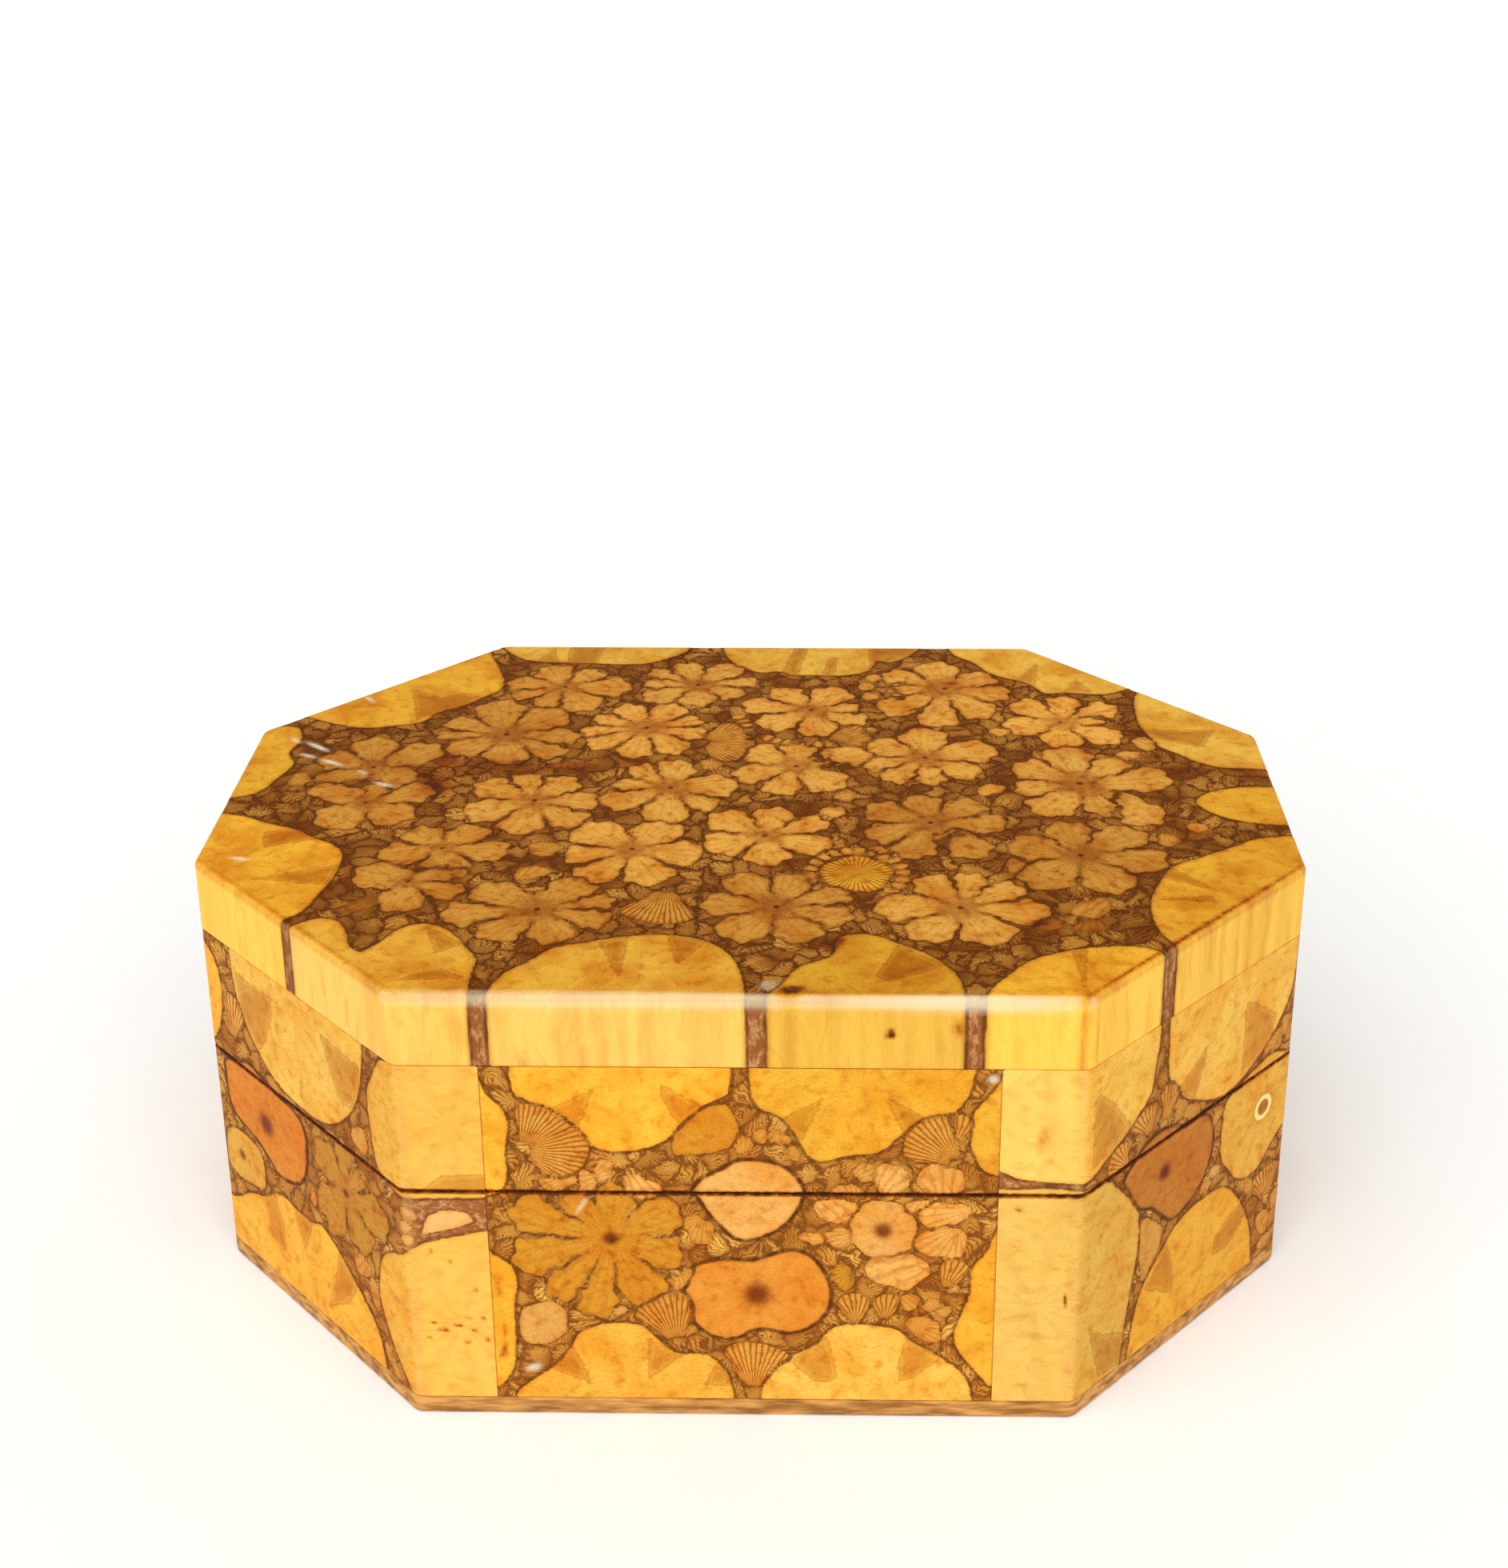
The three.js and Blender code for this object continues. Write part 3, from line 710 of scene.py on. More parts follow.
def piecesOf(figure):
    # every stem as kind, heart, how far it reaches, its own shape, tone, pith radius and outline strength
    petalRadius = 4  # mm, more than any petal's
    wedges = [np.array(wedge, float) for wedge in figure["wedges"]]
    for tone, heart, pith, points in figure["slice"]:
        ring = smoothRing(points) - heart
        low, high = np.min(points, axis=0) - 1, np.max(points, axis=0) + 1
        own = [w - heart for w in wedges if np.all(w.mean(0) > low) and np.all(w.mean(0) < high)]
        strength = toneOutline.get(tone, kindOutline["slice"])
        yield "slice", heart, np.abs(ring).max(), (ring, own), tone, pith, strength
    for tone, heart, *petals in figure["flower"]:
        middles = np.array(petals, float) - heart
        pithShare = 0.11 if tone == "dimPetal" else 0.06
        pith = pithShare * np.hypot(*middles.T).mean()
        reach = np.abs(middles).max() + petalRadius
        yield "flower", heart, reach, middles, tone, pith, kindOutline["flower"]
    for across, up, size, facing, spread, *tone in figure["fan"]:
        spec = (size, math.radians(facing), math.radians(spread))
        yield "fan", (across, up), size, spec, (tone or ("fan",))[0], 0, kindOutline["fan"]
    for across, up, halfWidth, halfHeight, turn, tone in figure["bit"]:
        spec = (halfWidth, halfHeight, math.radians(turn))
        yield "bit", (across, up), max(halfWidth, halfHeight), spec, tone, 0, kindOutline["bit"]


def blankField(count):
    return {
        "edge": np.full(count, farAway),
        "second": np.full(count, farAway),
        "wedge": np.full(count, farAway),
        "place": np.zeros((count, 3)),
        "rays": np.zeros((count, 4)),
        "tint": np.ones((count, 4)),
    }


def addPiece(field, points, piece, seed):
    # keeps the nearest stem at each point, and how far the next one is
    kind, heart, reach, spec, tone, pith, strength = piece
    draw = np.random.default_rng(seed)
    around = 7  # mm past a stem that its distance still counts
    offset = points - np.array(heart)
    near = np.flatnonzero(np.max(np.abs(offset), axis=1) < reach + around)
    if len(near) == 0:
        return
    x, y = offset[near].T
    edge, wedge = shapeOf[kind](x, y, spec, draw)
    closer = edge < field["edge"][near]
    field["second"][near] = np.where(closer, field["edge"][near], np.minimum(field["second"][near], edge))
    inside = near[closer]
    field["edge"][inside] = edge[closer]
    field["wedge"][inside] = wedge[closer]
    root = draw.uniform(-1, 1, 2) * reach * (kind == "bit") * 2  # a bit's rays run from outside it
    field["place"][inside] = np.c_[x[closer] - root[0], y[closer] - root[1], np.zeros(len(inside))]
    count, depth = kindRays[kind]
    if kind == "fan":
        count = round(count * reach)  # as close on a small fan as on a big one
    field["rays"][inside] = (count, depth, pith, strength)
    toneSpread = 0.05
    shade = 1 + draw.normal(0, toneSpread)
    field["tint"][inside] = np.array(toLinear(woodTone[tone])) * (shade, shade, shade, 1)


def figureField(figure, points, seed):
    field = blankField(len(points))
    for i, piece in enumerate(piecesOf(figure)):
        addPiece(field, points, piece, seed + i)
    fillerLine = 0.25  # mm, half the filler where two stems meet
    field["edge"] = np.maximum(field["edge"], fillerLine - (field["second"] - field["edge"]) / 2)
    return field


def verticesOf(mesh):
    points = np.zeros(len(mesh.vertices) * 3, np.float32)
    mesh.vertices.foreach_get("co", points)
    return points.reshape(-1, 3).astype(float)


def writeAttribute(mesh, name, kind, values):
    attribute = mesh.attributes.new(name, kind, "POINT")
    key = {"FLOAT": "value", "FLOAT_VECTOR": "vector", "FLOAT_COLOR": "color"}[kind]
    attribute.data.foreach_set(key, np.ascontiguousarray(values, np.float32).ravel())


def markField(figure, place):
    gone = 1.6  # times its half size, where a mark has died away
    total = np.zeros(len(place))
    for across, up, halfWidth, halfHeight, turn, strength, *depth in figure.get("mark", ()):
        x, y = place[:, 0] - across, place[:, 1] - up
        if depth:  # on the sawn edge below that line
            y = np.where(np.abs(y) < 1, place[:, 2] - depth[0], 99)
        share = np.hypot(*turned(x, y, math.radians(turn)) / np.array([[halfWidth], [halfHeight]]))
        total += strength * np.clip(gone - share, 0, 1)
    return total


def layFigure(obj, figure, place, seed, faceTone, edgeTone):
    # place holds each vertex's spot on the slab: across, up and depth under the face, in mm
    mesh = obj.data
    field = figureField(figure, place[:, :2], seed)
    faceEnds, edgeStarts = 0.6, 1.4  # mm of depth
    onEdge = np.clip((place[:, 2:] - faceEnds) / (edgeStarts - faceEnds), 0, 1)
    field["tint"][:, :3] *= np.array(faceTone) * (1 - onEdge) + np.array(edgeTone) * onEdge
    writeAttribute(mesh, "slabMark", "FLOAT", markField(figure, place))
    writeAttribute(mesh, "slabPlace", "FLOAT_VECTOR", place)
    writeAttribute(mesh, "sliceEdge", "FLOAT", field["edge"])
    writeAttribute(mesh, "sliceWedge", "FLOAT", field["wedge"])
    writeAttribute(mesh, "slicePlace", "FLOAT_VECTOR", field["place"])
    writeAttribute(mesh, "sliceRays", "FLOAT_COLOR", field["rays"])
    writeAttribute(mesh, "sliceTint", "FLOAT_COLOR", field["tint"])
    points = verticesOf(mesh)
    normals = np.zeros(len(points) * 3, np.float32)
    mesh.vertices.foreach_get("normal", normals)
    sinkStarts, sinkEnds = 0.05, 0.45  # mm past a stem's outline
    sunk = np.clip((field["edge"] - sinkStarts) / (sinkEnds - sinkStarts), 0, 1)
    sunk = sunk * sunk * (3 - 2 * sunk) * boxShape["fillerSunk"]
    points = points - normals.reshape(-1, 3) * sunk[:, None]
    mesh.vertices.foreach_set("co", points.astype(np.float32).ravel())
    mesh.update()


# Modelling
def pickEdges(obj, test):
    mesh = bmesh.from_edit_mesh(obj.data)
    for face in mesh.faces:
        face.select = False
    for edge in mesh.edges:
        edge.select = test(edge.verts[0].co, edge.verts[1].co)
    for vert in mesh.verts:
        vert.select = any(edge.select for edge in vert.link_edges)
    bmesh.update_edit_mesh(obj.data)


def closeSlab():
    bpy.ops.mesh.select_all(action="SELECT")
    bpy.ops.mesh.fill_holes(sides=0)
    bpy.ops.mesh.select_all(action="SELECT")
    bpy.ops.mesh.remove_doubles(threshold=boxShape["mergeWithin"])
    bpy.ops.mesh.normals_make_consistent(inside=False)
    bpy.ops.object.mode_set(mode="OBJECT")


def easeEdges(obj):
    bevel = obj.modifiers.new("easedArris", "BEVEL")
    bevel.width = boxShape["softEdge"]
    bevel.segments = 2
    bevel.limit_method = "ANGLE"
    bevel.angle_limit = math.radians(30)
    bpy.ops.object.modifier_apply(modifier=bevel.name)
    bpy.ops.object.shade_smooth_by_angle(angle=math.radians(40))


def finishPiece(obj, node, material):
    obj.name = node + "_slab"
    obj.data.materials.clear()
    obj.data.materials.append(material)
    obj.select_set(False)
    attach(obj, "root")
    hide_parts(node)


def makeWall(node, spec, figure, seed, material):
    # a sawn slab, modelled at the front and then turned to its side:
    # the outer face first, then the ends and the back behind it
    low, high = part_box(node)
    height = high.z - low.z
    cell = boxShape["cell"]
    arris = boxShape["cornerRadius"] if spec["endsShow"] else 0
    tangent = arris * math.tan(math.radians(22.5))
    half = spec["outerHalf"] - tangent
    bpy.ops.mesh.primitive_grid_add(
        x_subdivisions=round(2 * half / cell),
        y_subdivisions=round(height / cell),
        size=1,
        location=(spec["offset"], -spec["distance"], (low.z + high.z) / 2),
        rotation=(math.radians(90), 0, 0),
    )
    obj = bpy.context.object
    obj.scale = (2 * half, height, 1)
    bpy.ops.object.transform_apply(location=True, rotation=True, scale=True)
    bpy.ops.object.mode_set(mode="EDIT")
    bpy.ops.mesh.select_mode(type="EDGE")
    tiny = cell * 0.02
    for side in (-1, 1):
        rim = spec["offset"] + side * half
        pickEdges(obj, lambda a, b: abs(a.x - rim) < tiny and abs(b.x - rim) < tiny)
        if arris:
            bpy.ops.mesh.spin(
                steps=boxShape["arcSteps"],
                angle=-side * math.radians(45),
                center=(rim, -spec["distance"] + arris, 0),
                axis=(0, 0, 1),
            )
        run = wallThick - tangent / diagonal
        bpy.ops.mesh.extrude_region_move(TRANSFORM_OT_translate={"value": (side * run, run, 0)})
        if arris:
            pickEdges(obj, lambda a, b: (a - b).length > 3 * cell)
            bpy.ops.mesh.subdivide(number_cuts=round(run * diagonal / cell) - 1)
    inner = -spec["distance"] + wallThick
    pickEdges(obj, lambda a, b: abs(a.y - inner) < tiny and abs(b.y - inner) < tiny)
    bpy.ops.mesh.bridge_edge_loops()
    closeSlab()
    easeEdges(obj)
    points = verticesOf(obj.data)
    across = points[:, 0] - spec["offset"] - spec["zero"]
    place = np.c_[across, points[:, 2], points[:, 1] + spec["distance"]] / mm
    layFigure(obj, figure, place, seed, (1, 1, 1), boxShape["wallEdgeTone"])
    obj.rotation_euler.z = spec["turn"]
    bpy.ops.object.transform_apply(location=True, rotation=True, scale=True)
    finishPiece(obj, node, material)


def octagonCuts(shrinkX, shrinkY, radius):
    # cutting planes, as a point and a way out: the four corners, then each arris rounded by flats
    cuts = []
    for sx, sy in ((1, -1), (1, 1), (-1, 1), (-1, -1)):
        ends = (
            Vector((sx * frontHalf * shrinkX, sy * halfDepth * shrinkY)),
            Vector((sx * halfLength * shrinkX, sy * sideHalf * shrinkY)),
        )
        along = ends[1] - ends[0]
        outward = Vector((along.y, -along.x)).normalized() * (-sx * sy)
        cuts.append((ends[0], outward))
        for end, straight in zip(ends, (Vector((0, sy)), Vector((sx, 0)))):
            bisector = (outward + straight).normalized()
            opening = outward.angle(straight) / 2
            middle = end - bisector * radius / math.cos(opening)
            for share in (0.25, 0.5, 0.75):
                flat = outward.lerp(straight, share).normalized()
                cuts.append((middle + flat * radius, flat))
    return cuts


def makePlate(node, spec):
    # an octagonal plate: a grid trimmed to the outline inside the rounding,
    # then its rim rolled over and down
    low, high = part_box(node)
    side = spec["side"]  # 1 if the rounded face is on top, -1 underneath
    faceZ = high.z if side > 0 else low.z
    radius = spec["radius"]
    shrink = np.array((1 - radius / halfLength, 1 - radius / halfDepth))
    bpy.ops.mesh.primitive_grid_add(
        x_subdivisions=round(2 * halfLength / spec["cell"]),
        y_subdivisions=round(2 * halfDepth / spec["cell"]),
        size=1,
        location=(0, 0, faceZ),
    )
    obj = bpy.context.object
    obj.scale = (2 * halfLength * shrink[0], 2 * halfDepth * shrink[1], 1)
    bpy.ops.object.transform_apply(location=True, rotation=True, scale=True)
    bpy.ops.object.mode_set(mode="EDIT")
    bpy.ops.mesh.select_mode(type="EDGE")
    for point, outward in octagonCuts(*shrink, boxShape["cornerRadius"]):
        bpy.ops.mesh.select_all(action="SELECT")
        bpy.ops.mesh.bisect(
            plane_co=(point.x, point.y, faceZ),
            plane_no=(outward.x, outward.y, 0),
            clear_outer=True,
            threshold=boxShape["mergeWithin"],
        )
    bpy.ops.mesh.select_all(action="DESELECT")
    bpy.ops.mesh.select_non_manifold()
    steps = spec["rollSteps"]
    size = shrink
    for i in range(1, steps + 1):
        before, now = (math.radians(90 * k / steps) for k in (i - 1, i))
        drop = radius * (math.cos(before) - math.cos(now))
        bpy.ops.mesh.extrude_region_move(TRANSFORM_OT_translate={"value": (0, 0, -side * drop)})
        grown = shrink + (1 - shrink) * math.sin(now)
        scale = grown / size
        bpy.ops.transform.resize(value=(scale[0], scale[1], 1), center_override=(0, 0, faceZ))
        size = grown
    drop = (high.z - low.z - radius) / spec["edgeSteps"]
    for i in range(spec["edgeSteps"]):
        bpy.ops.mesh.extrude_region_move(TRANSFORM_OT_translate={"value": (0, 0, -side * drop)})
    closeSlab()
    easeEdges(obj)
    return obj, faceZ


# Materials
def addNode(tree, kind, links=(), **settings):
    node = tree.nodes.new(kind)
    for name, value in settings.items():
        setattr(node, name, value)
    for socket, source in links:
        if isinstance(source, bpy.types.NodeSocket):
            tree.links.new(source, node.inputs[socket])
        else:
            node.inputs[socket].default_value = source
    return node


def newMaterial(name):
    material = bpy.data.materials.new(name)
    material.use_nodes = True
    tree = material.node_tree
    return material, tree, tree.nodes["Principled BSDF"]


slabNoise = {  # scales are waves per mm of the slab's face
    "sway": (("Scale", 0.12), ("Detail", 1.0)),
    "patch": (("Scale", 0.14), ("Detail", 3.0)),
    "drift": (("Scale", 0.5), ("Detail", 3.0)),
    "mottle": (("Scale", 0.6), ("Detail", 4.0)),
    "ragged": (("Scale", 0.9), ("Detail", 4.0), ("Roughness", 0.65)),
    "crumb": (("Scale", 1.1), ("Detail", 3.0), ("Roughness", 0.7)),
    "pore": (("Scale", 2.2), ("Detail", 4.0), ("Roughness", 0.7)),
    "grain": (("Scale", 4.0), ("Detail", 2.0)),  # finer in real wood, drawn coarser to show at all
}
fillerBit = {"size": 3.1, "rays": 30.0}  # mm across, and how many rays run round it
smooth = {"interpolation_type": "SMOOTHSTEP"}
stained, painted = "MULTIPLY", "MIX"


def vineSlab(name, look):
    # vine stems cut across and set in filler, sanded and lacquered: end grain with rays on the face,
    # long grain on sawn edges, brown filler a little sunk, a thin satin film over all
    material, tree, shader = newMaterial(name)

    def node(kind, links=(), out=0, **settings):
        outputs = addNode(tree, "ShaderNode" + kind, links, **settings).outputs
        return outputs if out is None else outputs[out]

    def layered(colour, *layers):
        # tones laid on one after another, each by its share
        for share, tone, way in layers:
            over = toLinear(look[tone]) if isinstance(tone, str) else tone
            links = ((0, share), (6, colour), (7, over))
            colour = node("Mix", links, out=2, data_type="RGBA", blend_type=way)
        return colour

    place = node("Attribute", out="Vector", attribute_name="slabPlace")
    mark = node("Attribute", out="Fac", attribute_name="slabMark")
    edge = node("Attribute", out="Fac", attribute_name="sliceEdge")
    wedge = node("Attribute", out="Fac", attribute_name="sliceWedge")
    local = node("Attribute", out="Vector", attribute_name="slicePlace")
    tint = node("Attribute", out="Color", attribute_name="sliceTint")
    rays = node("Attribute", out=None, attribute_name="sliceRays")
    rayCount, rayDepth, pithSigned = node("SeparateColor", ((0, rays["Color"]),), out=None)
    outlined = rays["Alpha"]

    # the figure runs straight through the slab, so every pattern is drawn out along its thickness
    sway = node("TexNoise", (("Vector", place), *slabNoise["sway"]), out="Color")
    fibre = node("VectorMath", ((0, place), (1, (1, 1, 0.05))), operation="MULTIPLY")
    fibre = node("VectorMath", ((0, sway), (1, (4, 4, 0)), (2, fibre)), operation="MULTIPLY_ADD")
    flecks = node("VectorMath", ((0, fibre), (1, (0.6, 1.3, 1))), operation="MULTIPLY")
    pores = node("TexNoise", (("Vector", flecks), *slabNoise["pore"]), out="Fac")
    broad = node("TexNoise", (("Vector", fibre), *slabNoise["patch"]), out="Fac")
    mottle = node("TexNoise", (("Vector", fibre), *slabNoise["mottle"]), out="Fac")
    ragged = node("TexNoise", (("Vector", fibre), *slabNoise["ragged"]), out="Fac")
    ragged = node("Math", ((0, ragged), (1, 0.5)), operation="SUBTRACT")
    loose = node("MapRange", ((0, outlined), (1, 0.3), (2, 1.0), (3, 0.9), (4, 0.45)))
    rim = node("Math", ((0, ragged), (1, loose), (2, edge)), operation="MULTIPLY_ADD")
    bend = node("Math", ((0, mottle), (1, 4.5)), operation="MULTIPLY")

    def rayLines(spot, count):
        # lines that run out from a heart
        axes = node("SeparateXYZ", ((0, spot),), out=None)
        angle = node("Math", ((0, axes[1]), (1, axes[0])), operation="ARCTAN2")
        phase = node("Math", ((0, angle), (1, count), (2, bend)), operation="MULTIPLY_ADD")
        wave = node("Math", ((0, phase),), operation="SINE")
        return node("MapRange", ((0, wave), (1, -0.1), (2, 0.95)), **smooth)

    # patches, dark arms and their outlines, rays
    depth = node("SeparateXYZ", ((0, place),), out=2)
    sawn = node("MapRange", ((0, depth), (1, 0.5), (2, 1.3)))
    fading = node("MapRange", ((0, sawn), (3, 1.0), (4, 0.3)))
    patch = node("MapRange", ((0, broad), (1, 0.42), (2, 0.68), (4, fading)))
    torn = node("Math", ((0, ragged), (1, 1.4), (2, wedge)), operation="MULTIPLY_ADD")
    inArm = node("MapRange", ((0, torn), (1, 0.3), (2, -0.7), (4, look["armDepth"])))
    armGrain = node("Math", ((0, inArm), (1, rayDepth)), operation="MULTIPLY")
    armGrain = node("Math", ((0, armGrain), (1, 3.0)), operation="MULTIPLY", use_clamp=True)
    armLine = node("Math", ((0, torn),), operation="ABSOLUTE")
    armLine = node("MapRange", ((0, armLine), (1, 0.3), (2, 0.0), (4, 0.3)), **smooth)
    line = node("Math", ((0, rayLines(local, rayCount)), (1, rayDepth)), operation="MULTIPLY")

    # pores, wider open on the stems with strong rays
    soft = node("MapRange", ((0, rayDepth), (1, 0.08), (2, 0.14), (3, look["pores"]), (4, 1.0)))
    openness = node("MapRange", ((0, sawn), (3, soft), (4, 0.35)))
    pore = node("MapRange", ((0, pores), (1, 0.46), (2, 0.85), (4, openness)), **smooth)
    worn = node("MapRange", ((0, mottle), (1, 0.46), (2, 0.78), (4, openness)), **smooth)
    coarse = node("MapRange", ((0, sawn), (3, 0.45), (4, 0.15)))
    grain = node("TexNoise", (("Vector", fibre), *slabNoise["grain"]), out="Fac")
    grain = node("MapRange", ((0, grain), (1, 0.35), (2, 0.7), (4, coarse)))

    # the rim, the browned heart, and the pith, which has a pale ring where its radius is below 0
    nearRim = node("MapRange", ((0, rim), (1, -0.7), (2, 0.1), (4, look["rimDepth"])), **smooth)
    flat = node("VectorMath", ((0, local), (1, (1, 1, 0))), operation="MULTIPLY")
    radius = node("VectorMath", ((0, flat),), out="Value", operation="LENGTH")
    pithRadius = node("Math", ((0, pithSigned),), operation="ABSOLUTE")
    browned = node("Math", ((0, pithRadius), (1, look["heartReach"])), operation="MULTIPLY")
    browned = node("Math", ((0, browned), (1, radius)), operation="SUBTRACT")
    browned = node("Math", ((0, ragged), (1, 5.0), (2, browned)), operation="MULTIPLY_ADD")
    heart = node("MapRange", ((0, browned), (1, 0.0), (2, 3.5), (4, 4.0)), **smooth)
    heart = node("Math", ((0, heart), (1, rayDepth)), operation="MULTIPLY", use_clamp=True)
    outer = node("Math", ((0, pithRadius), (1, 1.7)), operation="MULTIPLY")
    inner = node("Math", ((0, pithRadius), (1, 0.4)), operation="MULTIPLY")
    ringed = node("Math", ((0, pithSigned), (1, 0.0)), operation="LESS_THAN")
    deep = node("MapRange", ((0, ringed), (3, 0.9), (4, 0.4)))
    pith = node("MapRange", ((0, radius), (1, outer), (2, inner), (4, deep)), **smooth)
    band = node("Math", ((0, radius), (1, pithRadius)), operation="SUBTRACT")
    band = node("Math", ((0, band),), operation="ABSOLUTE")
    band = node("MapRange", ((0, band), (1, 0.5), (2, 0.25), (4, ringed)), **smooth)
    wood = layered(
        tint,
        (patch, "patch", stained),
        (inArm, "arm", stained),
        (armGrain, "ray", stained),
        (armLine, "ray", stained),
        (line, "ray", stained),
        (pore, "pore", stained),
        (worn, "pore", stained),
        (grain, "pore", stained),
        (nearRim, "rim", stained),
        (heart, "heart", stained),
        (pith, "pith", stained),
        (band, "ring", painted),
    )

    # filler: broken bits of stem packed close, each with its own rays, in dark paste
    drift = node("TexNoise", (("Vector", fibre), *slabNoise["drift"]), out="Color")
    drifted = node("VectorMath", ((0, drift), (1, (3.0, 3.0, 0)), (2, fibre)), operation="MULTIPLY_ADD")
    packing = (("Vector", drifted), ("Scale", 1 / fillerBit["size"]))
    bits = node("TexVoronoi", packing, out=None, voronoi_dimensions="2D")
    cells = {"voronoi_dimensions": "2D", "feature": "DISTANCE_TO_EDGE"}
    gaps = node("TexVoronoi", packing, out="Distance", **cells)
    chance = node("SeparateColor", ((0, bits["Color"]),))
    root = ((0, bits["Color"]), (1, (4, 4, 0)), (2, bits["Position"]))
    root = node("VectorMath", root, operation="MULTIPLY_ADD")
    lean = node("VectorMath", ((0, drifted), (1, root)), operation="SUBTRACT")
    lean = node("VectorMath", ((0, lean), (1, (2, 2, 0))), operation="ADD")
    fine = node("MapRange", ((0, rayLines(lean, fillerBit["rays"])), (4, 0.75)))
    hollow = node("MapRange", ((0, gaps), (1, 0.3), (2, 0.05), (4, 0.35)), **smooth)
    uneven = node("Math", ((0, ragged), (1, 0.5), (2, gaps)), operation="MULTIPLY_ADD")
    gap = node("MapRange", ((0, uneven), (1, 0.14), (2, 0.0)), **smooth)
    plain = node("MapRange", ((0, broad), (1, 0.46), (2, 0.58), (4, look["plainPaste"])))
    gap = node("Math", ((0, gap), (1, plain)), operation="MAXIMUM")
    drawn = node("VectorMath", ((0, place), (1, (1, 1, 0.4))), operation="MULTIPLY")
    crumbs = node("TexNoise", (("Vector", drawn), *slabNoise["crumb"]), out="Fac")
    crumbs = node("MapRange", ((0, crumbs), (1, 0.48), (2, 0.64)))
    streaks = layered(toLinear(look["edgeFiller"]), (crumbs, "crumb", painted))
    filler = layered(
        toLinear(look["bark"]),
        (chance, "grit", painted),
        (fine, "ray", stained),
        (pore, "pore", stained),
        (patch, "shade", stained),
        (hollow, "ray", stained),
        (gap, "filler", painted),
        (sawn, streaks, painted),
    )

    # a dark line round the stems; a pale band along the arrises, partly wear and partly painted
    # highlight; then the marks: stains, specks and darker lines, painted shade along the seam, and pale
    # marks that on the top are painted glints and a painted highlight
    isFiller = node("MapRange", ((0, rim), (1, -0.1), (2, 0.1)), **smooth)
    fromLine = node("Math", ((0, rim), (1, 0.18)), operation="SUBTRACT")
    fromLine = node("Math", ((0, fromLine),), operation="ABSOLUTE")
    fromLine = node("Math", ((0, fromLine), (1, outlined)), operation="DIVIDE")
    outline = node("MapRange", ((0, fromLine), (1, 0.5), (2, 0.12)), **smooth)
    outline = node("Math", ((0, outline), (1, outlined)), operation="MULTIPLY")
    faint = node("MapRange", ((0, mottle), (1, 0.35), (2, 0.55), (3, 0.5)))
    outline = node("Math", ((0, outline), (1, faint)), operation="MULTIPLY")
    # a pale band just under the face along every arris: partly wear, partly a painted highlight
    early = node("MapRange", ((0, depth), (1, 0.05), (2, 0.3)))
    late = node("MapRange", ((0, depth), (1, 1.3), (2, 0.4)))
    wornHighlight = node("Math", ((0, early), (1, late)), operation="MULTIPLY")
    patchy = node("MapRange", ((0, broad), (1, 0.3), (2, 0.6), (3, 0.1), (4, look["wornHighlight"])))
    wornHighlight = node("Math", ((0, wornHighlight), (1, patchy)), operation="MULTIPLY")
    broken = node("MapRange", ((0, ragged), (1, -0.15), (2, 0.1), (3, 0.45)))
    dark = node("Math", ((0, mark), (1, broken)), operation="MULTIPLY", use_clamp=True)
    faintMark = node("Math", ((0, dark), (1, 2.0)), operation="MULTIPLY", use_clamp=True)
    darkMark = node("MapRange", ((0, dark), (1, 0.3), (2, 0.8)))
    # pale marks: on the top, painted glints and a painted highlight along the front edge
    paleMark = node("MapRange", ((0, mark), (1, 0.0), (2, -1.0)))
    surface = layered(
        wood,
        (isFiller, filler, painted),
        (outline, "outline", painted),
        (wornHighlight, "wornHighlightTone", painted),
        (faintMark, "faintMark", stained),
        (darkMark, "darkMark", painted),
        (paleMark, "paleMark", painted),
    )

    # lacquer: glossier on the wood, duller on the filler
    least, most = look["rough"]
    gloss = node("MapRange", ((0, mottle), (1, 0.3), (2, 0.7), (3, least), (4, most)))
    dull = node("Math", ((0, isFiller), (1, 0.12), (2, gloss)), operation="MULTIPLY_ADD")
    relief = (("Height", pores), ("Strength", look["bump"]), ("Distance", look["poreDepth"]))
    tree.links.new(surface, shader.inputs["Base Color"])
    tree.links.new(dull, shader.inputs["Roughness"])
    tree.links.new(node("Bump", relief), shader.inputs["Normal"])
    shader.inputs["IOR"].default_value = 1.45
    shader.inputs["Specular IOR Level"].default_value = look["film"]
    return material


wallLook = {
    "patch": "#FAE2B0",
    "arm": "#EACFA2",
    "armDepth": 0.8,
    "ray": "#A0641E",
    "pores": 0.7,
    "pore": "#E0B470",
    "rim": "#EFCB88",
    "rimDepth": 0.5,
    "heart": "#BC8A4E",
    "heartReach": 2.6,
    "pith": "#8E5A22",
    "ring": "#F6DC86",
    "filler": "#7E4812",
    "plainPaste": 0.2,
    "bark": "#C07F2C",
    "grit": "#E8B252",
    "shade": "#E4C290",
    "edgeFiller": "#9C5C2C",
    "crumb": "#C8915C",
    "outline": "#5A310A",
    # strength of the pale arris band, partly wear and partly painted highlight
    "wornHighlight": 0.2,
    "wornHighlightTone": "#FFDF9C",
    "faintMark": "#D29A50",
    "darkMark": "#4E2E14",
    "paleMark": "#F6EBC8",
    "rough": (0.38, 0.52),
    "film": 0.08,
    "bump": 0.3,
    "poreDepth": 0.05 * mm,
}
# the top's colours, darker than the walls': partly its own browning, partly painted shade for the lesser
# light on the top
topLook = dict(
    wallLook,
    patch="#EACB94",
    arm="#E0BE8C",
    pores=0.6,
    pore="#D8A660",
    rim="#C89A4C",
    rimDepth=0.6,
    heart="#B8863E",
    heartReach=11.0,
    filler="#5E3006",
    bark="#925A1A",
    grit="#CE943C",
    shade="#C8A064",
    edgeFiller="#94562A",
    outline="#522C04",
    wornHighlight=0.12,
    rough=(0.34, 0.5),
    film=0.05,
)


